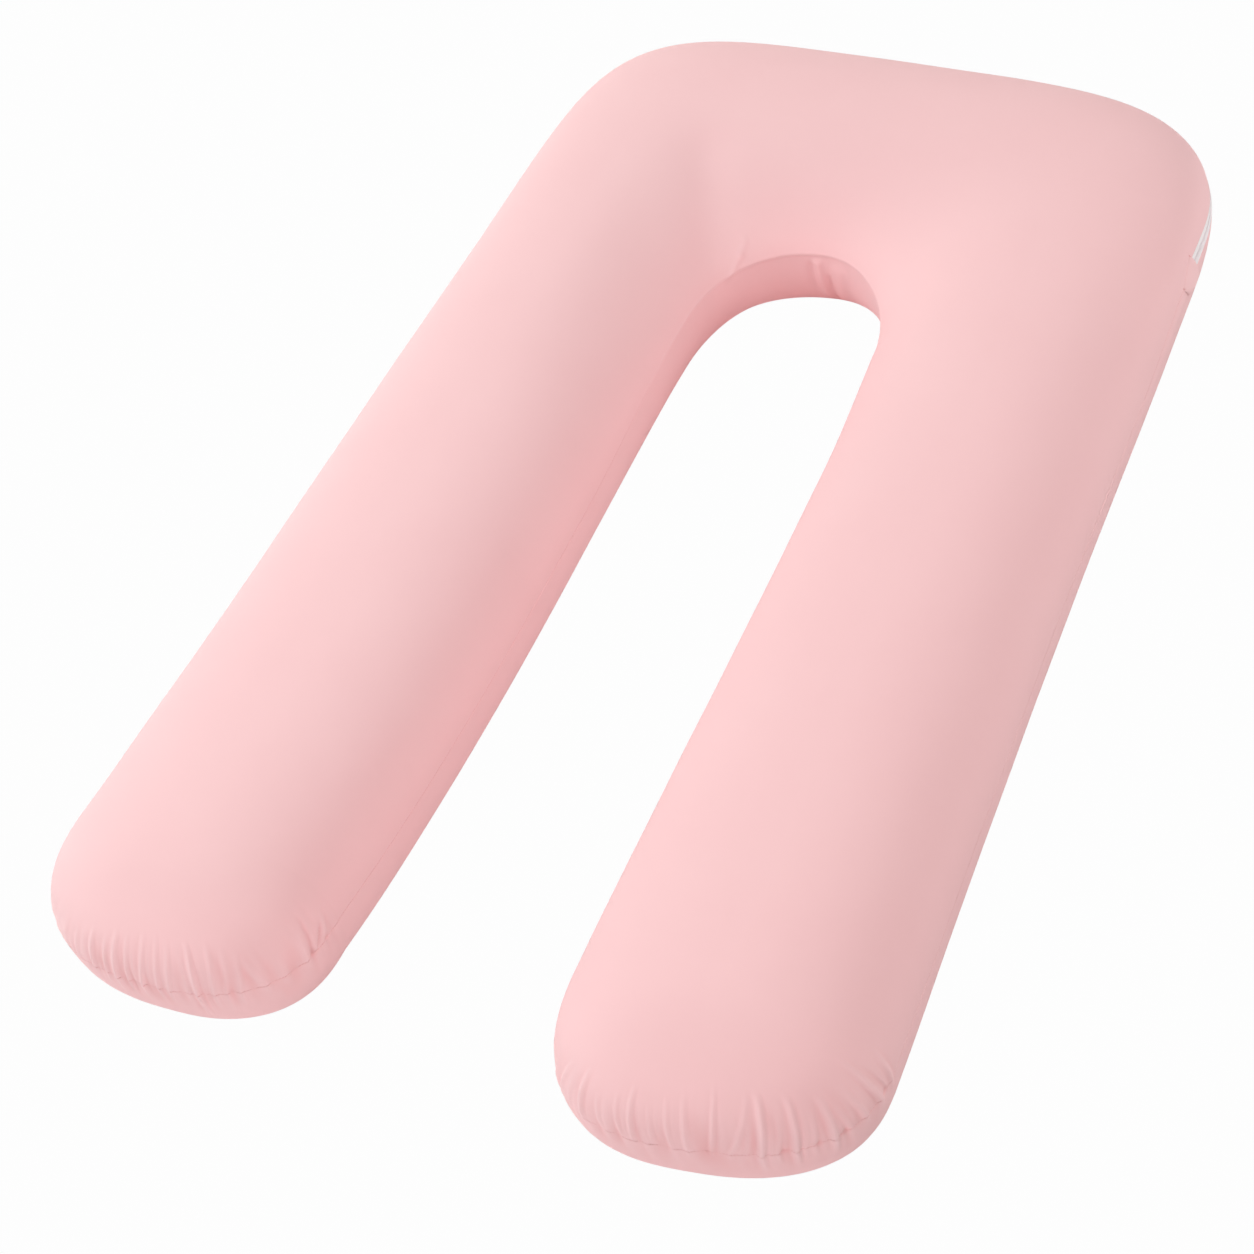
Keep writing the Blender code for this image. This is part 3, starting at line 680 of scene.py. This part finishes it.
def jerseyMaterial(name, light, deep):
    material, tree, shader = newMaterial(name)
    place = addNode(tree, "ShaderNodeUVMap", (-500, -200), uv_map="clothPlace")
    tone = groupNode(tree, clothTone, (-200, 100), Light=light, Deep=deep)
    knit = groupNode(tree, knitFace, (-200, -200), Wale=jersey["wale"], Course=jersey["course"])
    tree.links.new(place.outputs["UV"], knit.inputs["Place"])
    bump = addNode(tree, "ShaderNodeBump", (100, -200))
    setInputs(bump, {"Strength": jersey["bump"], "Distance": jersey["knitDepth"]})
    tree.links.new(knit.outputs["Height"], bump.inputs["Height"])
    # Painted light and shade: the attribute lightens the base colour on crests and darkens it, green and blue
    # more than red, in painted shade
    fold = addNode(tree, "ShaderNodeAttribute", (-500, 300), attribute_name="paintedLightAndShade")
    share = addNode(tree, "ShaderNodeVectorMath", (-200, 300), operation="SCALE")
    share.inputs[0].default_value = paintedShading["change"]
    tree.links.new(fold.outputs["Fac"], share.inputs["Scale"])
    paintedShadingColour = addNode(tree, "ShaderNodeVectorMath", (100, 200), operation="MULTIPLY_ADD")
    for link, socket in zip((tone.outputs["Color"], share.outputs[0], tone.outputs["Color"]), paintedShadingColour.inputs):
        tree.links.new(link, socket)
    tree.links.new(paintedShadingColour.outputs[0], shader.inputs["Base Color"])
    tree.links.new(bump.outputs["Normal"], shader.inputs["Normal"])
    setInputs(shader, jerseyFinish)
    return material


thread = {"seam": (0.86, 0.42, 0.44, 1), "white": (0.92, 0.88, 0.90, 1), "tack": (0.88, 0.44, 0.46, 1),
          "deepShare": 0.9, "patch": 0.02}
threadFinish = {"Roughness": 0.6, "Specular IOR Level": 0.3}


def threadMaterial(name, colour):
    material, tree, shader = newMaterial(name)
    deep = tuple(thread["deepShare"] * v for v in colour[:3]) + (1,)
    tone = groupNode(tree, clothTone, (-200, 100), Light=colour, Deep=deep, Patch=thread["patch"])
    tree.links.new(tone.outputs["Color"], shader.inputs["Base Color"])
    setInputs(shader, threadFinish)
    return material


coverJersey = jerseyMaterial("coverJersey", jersey["light"], jersey["deep"])
tabJersey = jerseyMaterial("tabJersey", jersey["tabLight"], jersey["light"])
pillow.data.materials.append(coverJersey)
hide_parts("pillow_cover")
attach(pillow, "root")
print("jersey done")


# A line of points to carry repeated pieces, each point with the way out of the cover
def pathObject(name, line, outward):
    data = bpy.data.meshes.new(name)
    data.from_pydata([tuple(p) for p in line], [(i, i + 1) for i in range(len(line) - 1)], [])
    attribute = data.attributes.new("outward", "FLOAT_VECTOR", "POINT")
    attribute.data.foreach_set("vector", np.asarray(outward, np.float32).ravel())
    return linked(name, data)


def geometryTree(name, sizes):
    tree = bpy.data.node_groups.new(name, "GeometryNodeTree")
    tree.interface.new_socket(name="Geometry", in_out="INPUT", socket_type="NodeSocketGeometry")
    for label, value in sizes.items():
        socket = tree.interface.new_socket(name=label, in_out="INPUT", socket_type="NodeSocketFloat")
        socket.default_value = value
    tree.interface.new_socket(name="Material", in_out="INPUT", socket_type="NodeSocketMaterial")
    tree.interface.new_socket(name="Geometry", in_out="OUTPUT", socket_type="NodeSocketGeometry")
    return tree, addNode(tree, "NodeGroupInput", (-1000, 0)), addNode(tree, "NodeGroupOutput", (1000, 0))


def wire(tree, *links):
    for start, end in links:
        tree.links.new(start, end)


# Points along the line at an even pitch, turned along it and with their X axis out of the cover
def evenPoints(tree, given):
    curve = addNode(tree, "GeometryNodeMeshToCurve", (-800, 200))
    resample = addNode(tree, "GeometryNodeResampleCurve", (-600, 200), mode="LENGTH")
    tangent = addNode(tree, "GeometryNodeInputTangent", (-800, -100))
    outward = addNode(tree, "GeometryNodeInputNamedAttribute", (-800, -250), data_type="FLOAT_VECTOR")
    outward.inputs["Name"].default_value = "outward"
    along = addNode(tree, "FunctionNodeAlignRotationToVector", (-600, -100), axis="Z")
    facing = addNode(tree, "FunctionNodeAlignRotationToVector", (-400, -100), axis="X", pivot_axis="Z")
    wire(tree, (given.outputs["Geometry"], curve.inputs["Mesh"]),
         (curve.outputs["Curve"], resample.inputs["Curve"]),
         (given.outputs["Pitch"], resample.inputs["Length"]), (tangent.outputs[0], along.inputs["Vector"]),
         (along.outputs[0], facing.inputs["Rotation"]),
         (outward.outputs["Attribute"], facing.inputs["Vector"]))
    return resample.outputs["Curve"], facing.outputs[0]


def placeOnPoints(tree, given, made, shape, scale=None):
    curve, turn = evenPoints(tree, given)
    smooth = addNode(tree, "GeometryNodeSetShadeSmooth", (200, -200))
    instances = addNode(tree, "GeometryNodeInstanceOnPoints", (400, 100))
    realize = addNode(tree, "GeometryNodeRealizeInstances", (600, 100))
    finish = addNode(tree, "GeometryNodeSetMaterial", (800, 100))
    wire(tree, (shape, smooth.inputs["Geometry"]), (smooth.outputs[0], instances.inputs["Instance"]),
         (curve, instances.inputs["Points"]), (turn, instances.inputs["Rotation"]),
         (instances.outputs[0], realize.inputs["Geometry"]),
         (realize.outputs[0], finish.inputs["Geometry"]),
         (given.outputs["Material"], finish.inputs["Material"]),
         (finish.outputs[0], made.inputs["Geometry"]))
    if scale is not None:
        tree.links.new(scale, instances.inputs["Scale"])


# A stitch is a short plump thread, its ends sunk into the cloth
def stitchTree():
    tree, given, made = geometryTree("stitchRow", {"Pitch": 0.003, "Length": 0.0024, "Thickness": 0.0006})
    bead = addNode(tree, "GeometryNodeMeshUVSphere", (-200, -300))
    setInputs(bead, {"Segments": 6, "Rings": 4, "Radius": 0.5})
    size = addNode(tree, "ShaderNodeCombineXYZ", (-200, 0))
    for label, axis in (("Thickness", "X"), ("Thickness", "Y"), ("Length", "Z")):
        tree.links.new(given.outputs[label], size.inputs[axis])
    placeOnPoints(tree, given, made, bead.outputs["Mesh"], size.outputs[0])
    return tree


coil = {"Pitch": 0.0013, "Width": 0.00125, "Height": 0.00016, "Wire": 0.00036, "Apart": 0.00070}


# Two rows of flattened nylon loops that lock into each other
def coilTree():
    tree, given, made = geometryTree("coilTeeth", coil)
    ring = addNode(tree, "GeometryNodeCurvePrimitiveCircle", (-400, -400))
    setInputs(ring, {"Resolution": 8, "Radius": 1.0})
    wireRing = addNode(tree, "GeometryNodeCurvePrimitiveCircle", (-400, -600))
    setInputs(wireRing, {"Resolution": 4})
    flat = addNode(tree, "ShaderNodeCombineXYZ", (-400, -250))
    squeeze = addNode(tree, "GeometryNodeTransform", (-200, -400))
    tube = addNode(tree, "GeometryNodeCurveToMesh", (0, -400))
    wire(tree, (given.outputs["Height"], flat.inputs["X"]), (given.outputs["Width"], flat.inputs["Y"]),
         (flat.outputs[0], squeeze.inputs["Scale"]), (ring.outputs["Curve"], squeeze.inputs["Geometry"]),
         (given.outputs["Wire"], wireRing.inputs["Radius"]), (squeeze.outputs[0], tube.inputs["Curve"]),
         (wireRing.outputs["Curve"], tube.inputs["Profile Curve"]))
    setInputs(flat, {"Z": 1.0})
    join = addNode(tree, "GeometryNodeJoinGeometry", (100, -200))
    for sideways in (1.0, -1.0):
        offset = addNode(tree, "ShaderNodeCombineXYZ", (-100, -700))
        move = addNode(tree, "GeometryNodeTransform", (50, -600))
        shiftY = mathNode(tree, "MULTIPLY", (-300, -700), given.outputs["Apart"], sideways)
        shiftZ = mathNode(tree, "MULTIPLY", (-300, -800), given.outputs["Pitch"], 0.25 * sideways)
        wire(tree, (shiftY, offset.inputs["Y"]), (shiftZ, offset.inputs["Z"]),
             (offset.outputs[0], move.inputs["Translation"]), (tube.outputs[0], move.inputs["Geometry"]),
             (move.outputs[0], join.inputs[0]))
    placeOnPoints(tree, given, made, join.outputs[0])
    return tree


# Run a tree on a line and keep the result as a plain mesh
def laidOut(name, line, outward, tree, material, **sizes):
    path = pathObject(name + "Path", centred(line), outward)
    modifier = path.modifiers.new("layOut", "NODES")
    modifier.node_group = tree
    for item in tree.interface.items_tree:
        if item.in_out == "INPUT" and item.name in sizes:
            modifier[item.identifier] = sizes[item.name]
        if item.in_out == "INPUT" and item.name == "Material":
            modifier[item.identifier] = material
    graph = bpy.context.evaluated_depsgraph_get()
    data = bpy.data.meshes.new_from_object(path.evaluated_get(graph))
    data.name = name
    for attribute in [a.name for a in data.attributes if a.name == "outward"]:
        data.attributes.remove(data.attributes[attribute])
    bpy.data.objects.remove(path)
    return linked(name, data)


def finishPiece(piece, node=None):
    if node:
        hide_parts(node)
    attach(piece, "root")


# A line at an offset out of the seam and above it, over the columns chosen
def seamLine(columns, off, above=0.0, chosen=slice(None)):
    lean = columns["lean"][chosen]
    xy = columns["seam"][chosen] + columns["out"][chosen] * np.reshape(off + leanOff(lean, above), (-1, 1))
    outward = np.column_stack((columns["out"][chosen], lean))
    return np.column_stack((xy, columns["seamZ"][chosen] + above)), outward


stitches = {"pitch": 0.0032, "length": 0.0026, "thickness": 0.0006, "sunk": 0.0003, "foldShare": 0.95,
            "zipPitch": 0.0026, "zipLength": 0.0021, "zipThickness": 0.0005, "zipEdge": 0.0060,
            "zipLift": 0.0001, "zipEndClear": 0.002}
stitchRow, coilTeeth = stitchTree(), coilTree()
seamThread = threadMaterial("seamThread", thread["seam"])
whiteThread = threadMaterial("whiteThread", thread["white"])
tackThread = threadMaterial("tackThread", thread["tack"])

# The seam's thread runs in the groove, from one end of the zip round to the other
order = np.arange(len(columns["seam"]))
afterZip = int(order[columns["bar"] > zipRun["end"] + section["channelTaper"]][0])
sewn = [int(i) for i in np.roll(order, -afterZip) if columns["zip"][i] == 0.0]
sunk = foldLift(columns, 0.0, True)[sewn] * stitches["foldShare"] - stitches["sunk"]
line, outward = seamLine(columns, sunk, chosen=sewn)
seamStitches = laidOut("seamStitches", line, outward, stitchRow, seamThread, Pitch=stitches["pitch"],
                       Length=stitches["length"], Thickness=stitches["thickness"])
finishPiece(seamStitches)
print("seam stitches", len(seamStitches.data.polygons), "faces")

# Zip tape: a woven strip with thicker edges, just below the cover's surface, and the coil that lies on it
tape = {"half": 0.0074, "inner": -0.0016, "outer": -0.0002, "step": 0.0025, "edgeThick": 0.00015,
        "endClear": 0.0004, "coilMiddle": 0.0002, "coilEndClear": 0.001, "twill": 0.0009, "rib": 0.0005,
        "ribShare": 0.4, "weaveDepth": 0.00006, "bump": 0.6, "roughness": 0.8, "patch": 0.02,
        "light": (0.95, 0.89, 0.91, 1), "deep": (0.92, 0.86, 0.88, 1)}


def zipColumns(start, end, step):
    found = outerColumns(np.linspace(start, end, int((end - start) / step)))
    found["out"] = wayOut(np.gradient(found["seam"], axis=0))
    return found


def tapeProfile():
    half, inner, outer, edge = tape["half"], tape["inner"], tape["outer"], tape["edgeThick"]
    across = np.array((-1.0, -0.985, -0.93, -0.86, -0.45, 0.0, 0.45, 0.86, 0.93, 0.985, 1.0))
    lifted = np.array((-0.3, 0.6, 1.0, 0.0, 0.0, 0.0, 0.0, 0.0, 1.0, 0.6, -0.3)) * edge
    face = [(outer + lift, half * side) for side, lift in zip(across, lifted)]
    return face + [(inner, half), (inner, -half)]


def buildTape():
    found = zipColumns(zipRun["start"] + tape["endClear"], zipRun["end"] - tape["endClear"], tape["step"])
    profile = tapeProfile()
    rings = [seamLine(found, off, side)[0] for off, side in profile]
    count, wide = len(found["bar"]), len(profile)
    stacked = np.stack(rings, axis=1).reshape(-1, 3)
    faces = [[i * wide + k, (i + 1) * wide + k, (i + 1) * wide + (k + 1) % wide, i * wide + (k + 1) % wide]
             for i in range(count - 1) for k in range(wide)]
    faces += [list(range(wide)), [(count - 1) * wide + k for k in reversed(range(wide))]]
    uv = [(found["bar"][i], side) for i in range(count) for off, side in profile]
    return meshObject("zipTape", centred(stacked), faces, uv=uv)


def tapeMaterial():
    material, tree, shader = newMaterial("tapeWeave")
    place = addNode(tree, "ShaderNodeUVMap", (-900, -200), uv_map="clothPlace")
    split = addNode(tree, "ShaderNodeSeparateXYZ", (-700, -200))
    tree.links.new(place.outputs["UV"], split.inputs[0])
    diagonal = mathNode(tree, "ADD", (-520, -150), split.outputs["X"], split.outputs["Y"])
    slant = mathNode(tree, "MULTIPLY", (-360, -150), diagonal, 2 * math.pi / tape["twill"])
    lines = mathNode(tree, "MULTIPLY", (-360, -320), split.outputs["Y"], 2 * math.pi / tape["rib"])
    twill, ribs = mathNode(tree, "SINE", (-200, -150), slant), mathNode(tree, "SINE", (-200, -320), lines)
    lowRibs = mathNode(tree, "MULTIPLY", (-120, -320), ribs, tape["ribShare"])
    height = mathNode(tree, "ADD", (-40, -200), twill, lowRibs)
    bump = addNode(tree, "ShaderNodeBump", (150, -200))
    setInputs(bump, {"Strength": tape["bump"], "Distance": tape["weaveDepth"]})
    tone = groupNode(tree, clothTone, (-100, 150), Light=tape["light"], Deep=tape["deep"], Patch=tape["patch"])
    tree.links.new(height, bump.inputs["Height"])
    tree.links.new(bump.outputs["Normal"], shader.inputs["Normal"])
    tree.links.new(tone.outputs["Color"], shader.inputs["Base Color"])
    setInputs(shader, {"Roughness": tape["roughness"]})
    return material


nylon = {"patch": 0.03, "finish": {"Roughness": 0.38, "Specular IOR Level": 0.5}}


def nylonMaterial():
    material, tree, shader = newMaterial("coilNylon")
    tone = groupNode(tree, clothTone, (-100, 150), Light=tape["light"], Deep=tape["deep"], Patch=nylon["patch"])
    tree.links.new(tone.outputs["Color"], shader.inputs["Base Color"])
    setInputs(shader, nylon["finish"])
    return material


zipTape = buildTape()
zipTape.data.materials.append(tapeMaterial())
zipTape.data.set_sharp_from_angle(angle=math.radians(50))
finishPiece(zipTape, "zip_tape")

run = zipColumns(zipRun["coilStart"], zipRun["end"] - tape["coilEndClear"], tape["step"])
line, outward = seamLine(run, tape["coilMiddle"])
zipCoil = laidOut("zipCoil", line, outward, coilTeeth, nylonMaterial(), **coil)
finishPiece(zipCoil, "zip_coil")

stitchRun = zipColumns(zipRun["coilStart"], zipRun["end"] - stitches["zipEndClear"], tape["step"])
for name, side in (("zipStitchesUpper", 1), ("zipStitchesLower", -1)):
    line, outward = seamLine(stitchRun, tape["outer"] + stitches["zipLift"], side * stitches["zipEdge"])
    row = laidOut(name, line, outward, stitchRow, whiteThread, Pitch=stitches["zipPitch"],
                  Length=stitches["zipLength"], Thickness=stitches["zipThickness"])
    finishPiece(row)
print("zip done", len(zipCoil.data.polygons), "coil faces")

# Half-round tab over the zip's lower end: straight sewn edge above, puffed face, rolled rim
tab = {"middle": 0.1295, "half": 0.0213, "drop": 0.0350, "above": 0.0078, "turn": math.radians(19),
       "thick": 0.0012, "puff": 0.0046, "puffReach": 0.009, "puffPower": 4, "puffEase": 0.8,
       "rimReach": 0.6, "rimPower": 0.5, "rimThick": 0.45, "clear": 0.0003, "sewnReach": 0.004,
       "sewnAt": 0.0003, "sewnClear": -0.0005, "sewnThick": 0.20, "rows": 26, "across": 34}


# Place on the cover of a spot of the tab, given across it and down from its sewn edge
def tabSpot(side, fall):
    c, s = math.cos(tab["turn"]), math.sin(tab["turn"])
    return tab["middle"] + side * c + fall * s, tab["above"] + side * s - fall * c


def sideSurface(along, dz, off):
    found = outerColumns(along)
    up, upOut = sectionAt(found, np.abs(dz) / (section["crown"] - found["seamZ"]), True)
    down, downOut = sectionAt(found, np.abs(dz) / (found["seamZ"] + section["press"]), False)
    higher = (dz > 0)[:, None]
    out, surface = np.where(higher, upOut, downOut), np.where(higher, up, down)
    return surface + out * (off + lumpLift(surface))[:, None], out


def buildTab():
    turns = np.linspace(0, math.pi / 2, tab["rows"] + 1)[:-1]
    across = np.sin(np.linspace(-math.pi / 2, math.pi / 2, tab["across"] + 1))
    spots = [(math.cos(t) * a, math.sin(t)) for t in turns for a in across] + [(0.0, 1.0)]
    side, fall = np.array(spots).T
    radius = np.clip(np.hypot(side, fall), 0, 1)
    along, dz = tabSpot(side * tab["half"], fall * tab["drop"])
    depth = fall * tab["drop"]
    puff = (1 - radius ** tab["puffPower"]) ** tab["puffEase"] * (1 - np.exp(-depth / tab["puffReach"]))
    rim = np.clip((1 - radius) * tab["half"] / (tab["rimReach"] * tab["thick"]), 0, 1) ** tab["rimPower"]
    free = 1 - np.exp(-(depth + tab["sewnAt"]) / tab["sewnReach"])
    off = mix(tab["sewnClear"], tab["clear"], free)
    thick = tab["thick"] * mix(tab["sewnThick"], 1, free) * mix(tab["rimThick"], 1, rim)
    back, _ = sideSurface(along, dz, off)
    face, _ = sideSurface(along, dz, off + thick + tab["puff"] * puff)
    wide, count = tab["across"] + 1, len(spots)
    faces = []
    for layer in (0, count):
        quads = [[i * wide + k, i * wide + k + 1, (i + 1) * wide + k + 1, (i + 1) * wide + k]
                 for i in range(tab["rows"] - 1) for k in range(tab["across"])]
        quads += [[(tab["rows"] - 1) * wide + k, (tab["rows"] - 1) * wide + k + 1, count - 1]
                  for k in range(tab["across"])]
        quads = [[layer + v for v in quad] for quad in quads]
        faces += quads if layer == 0 else [quad[::-1] for quad in quads]
    border = list(range(wide)) + [i * wide + wide - 1 for i in range(1, tab["rows"])] + [count - 1]
    border += [i * wide for i in range(tab["rows"] - 1, 0, -1)]
    faces += [[a, a + count, b + count, b] for a, b in zip(border, border[1:] + border[:1])]
    uv = [(a, z) for a, z in zip(along, dz)] * 2
    return meshObject("zipTab", centred(np.concatenate((back, face))), faces, uv=uv)


zipTab = buildTab()
zipTab.data.materials.append(tabJersey)
finishPiece(zipTab, "zip_tab")

# Short dense tacks hold the two ends of the tab's straight edge
tack = {"length": 0.0028, "points": 6, "inset": 0.0010, "lean": 0.25, "up": 0.0008, "off": 0.0001,
        "rise": 0.35, "pitch": 0.0007, "stitch": 0.0005, "thickness": 0.0008}
for name, side in (("tabTackLow", -1), ("tabTackHigh", 1)):
    span = np.linspace(0.0, tack["length"], tack["points"])
    along, dz = tabSpot(side * (tab["half"] - tack["inset"] - span * tack["lean"]), span - tack["up"])
    line, outward = sideSurface(along, dz, tack["off"] + span * tack["rise"])
    row = laidOut(name, line, outward, stitchRow, tackThread, Pitch=tack["pitch"],
                  Length=tack["stitch"], Thickness=tack["thickness"])
    finishPiece(row)
print("tab done")

# Studio: the softboxes stand round the pillow at the same distance, turned to it
# turn and height in degrees round the pillow, power in watts
softboxes = {
    "key": {"turn": 202, "height": 42, "power": 60, "colour": (0.90, 1.0, 0.985)},
    "keyLow": {"turn": 180, "height": 18, "power": 20.5, "colour": (0.80, 1.0, 0.98)},
    "top": {"turn": 0, "height": 66, "power": 42, "colour": (1.0, 0.98, 0.98)},
    "backRight": {"turn": 45, "height": 18, "power": 34, "colour": (0.94, 1.0, 0.98)},
    "backLeft": {"turn": 135, "height": 18, "power": 43, "colour": (1.0, 0.94, 0.90)},
    "front": {"turn": 270, "height": 18, "power": 33.5, "colour": (1.0, 0.93, 0.93)},
    "fill": {"turn": 338, "height": 42, "power": 18, "colour": (1.0, 0.76, 0.72)},
}
studio = {"distance": 3.4, "boxSize": 1.6, "aimHeight": 0.1, "floorHalf": 7.0, "floorDrop": 0.001,
          "floorWhite": 0.85, "floorGlow": 0.085, "backdrop": 0.985}


def makeLights():
    for name, box in softboxes.items():
        turn, height = math.radians(box["turn"]), math.radians(box["height"])
        level = math.cos(height)
        way = Vector((math.cos(turn) * level, math.sin(turn) * level, math.sin(height)))
        lamp = bpy.data.lights.new(name, "AREA")
        lamp.shape = "DISK"
        lamp.size = studio["boxSize"]
        lamp.energy = box["power"]
        lamp.color = box["colour"]
        place = way * studio["distance"] + Vector((0, 0, studio["aimHeight"]))
        facing = way.to_track_quat("Z", "Y").to_matrix().to_4x4()
        linked(name, lamp).matrix_world = Matrix.Translation(place) @ facing


# The floor is plain white to look at, and lights the pillow as a white floor in its shadow does
def makeFloor():
    half, z, white = studio["floorHalf"], -studio["floorDrop"], studio["floorWhite"]
    corners = [(-half, -half, z), (half, -half, z), (half, half, z), (-half, half, z)]
    floor = meshObject("studioFloor", corners, [(0, 1, 2, 3)], smooth=False)
    material, tree, shader = newMaterial("studioWhite")
    setInputs(shader, {"Base Color": (white, white, white, 1), "Roughness": 0.9, "Specular IOR Level": 0.1,
                       "Emission Color": (1, 1, 1, 1), "Emission Strength": studio["floorGlow"]})
    seen = addNode(tree, "ShaderNodeEmission", (400, -400))
    setInputs(seen, {"Strength": studio["backdrop"]})
    path = addNode(tree, "ShaderNodeLightPath", (400, 300))
    blend = addNode(tree, "ShaderNodeMixShader", (600, 200))
    wire(tree, (path.outputs["Is Camera Ray"], blend.inputs[0]), (shader.outputs[0], blend.inputs[1]),
         (seen.outputs[0], blend.inputs[2]),
         (blend.outputs[0], tree.nodes["Material Output"].inputs["Surface"]))
    floor.data.materials.append(material)


def makeWorld():
    world = bpy.data.worlds.new("studioWorld")
    bpy.context.scene.world = world
    world.use_nodes = True
    tree = world.node_tree
    background = tree.nodes["Background"]
    setInputs(background, {"Color": (1, 1, 1, 1)})
    path = addNode(tree, "ShaderNodeLightPath", (-400, 0))
    glow = mathNode(tree, "MULTIPLY", (-200, 0), path.outputs["Is Camera Ray"], studio["backdrop"])
    tree.links.new(glow, background.inputs["Strength"])


# The photo's viewpoint: turned about the pillow, raised, and tilted in its own frame
viewpoint = {"azimuth": 35.727, "elevation": 48.444, "roll": -14.995, "distance": 2.5763,
             "target": (-0.0039, -0.1672, 0.1), "lens": 73.026, "sensor": 36.0}


def makeCamera():
    az, el, roll = (math.radians(viewpoint[key]) for key in ("azimuth", "elevation", "roll"))
    ahead = Vector((-math.sin(az) * math.cos(el), math.cos(az) * math.cos(el), -math.sin(el)))
    level = Vector((math.cos(az), math.sin(az), 0))
    upright = level.cross(ahead)
    right = level * math.cos(roll) + upright * math.sin(roll)
    up = right.cross(ahead)
    target = Vector(viewpoint["target"]) - Vector((shift[0], shift[1], 0))
    data = bpy.data.cameras.new("photoCamera")
    data.lens = viewpoint["lens"]
    data.sensor_width = viewpoint["sensor"]
    camera = linked("photoCamera", data)
    turn = Matrix((right, up, -ahead)).transposed().to_4x4()
    camera.matrix_world = Matrix.Translation(target - ahead * viewpoint["distance"]) @ turn
    bpy.context.scene.camera = camera


makeFloor()
makeLights()
makeWorld()
makeCamera()
bpy.context.scene.view_settings.view_transform = "Standard"
print("studio done")
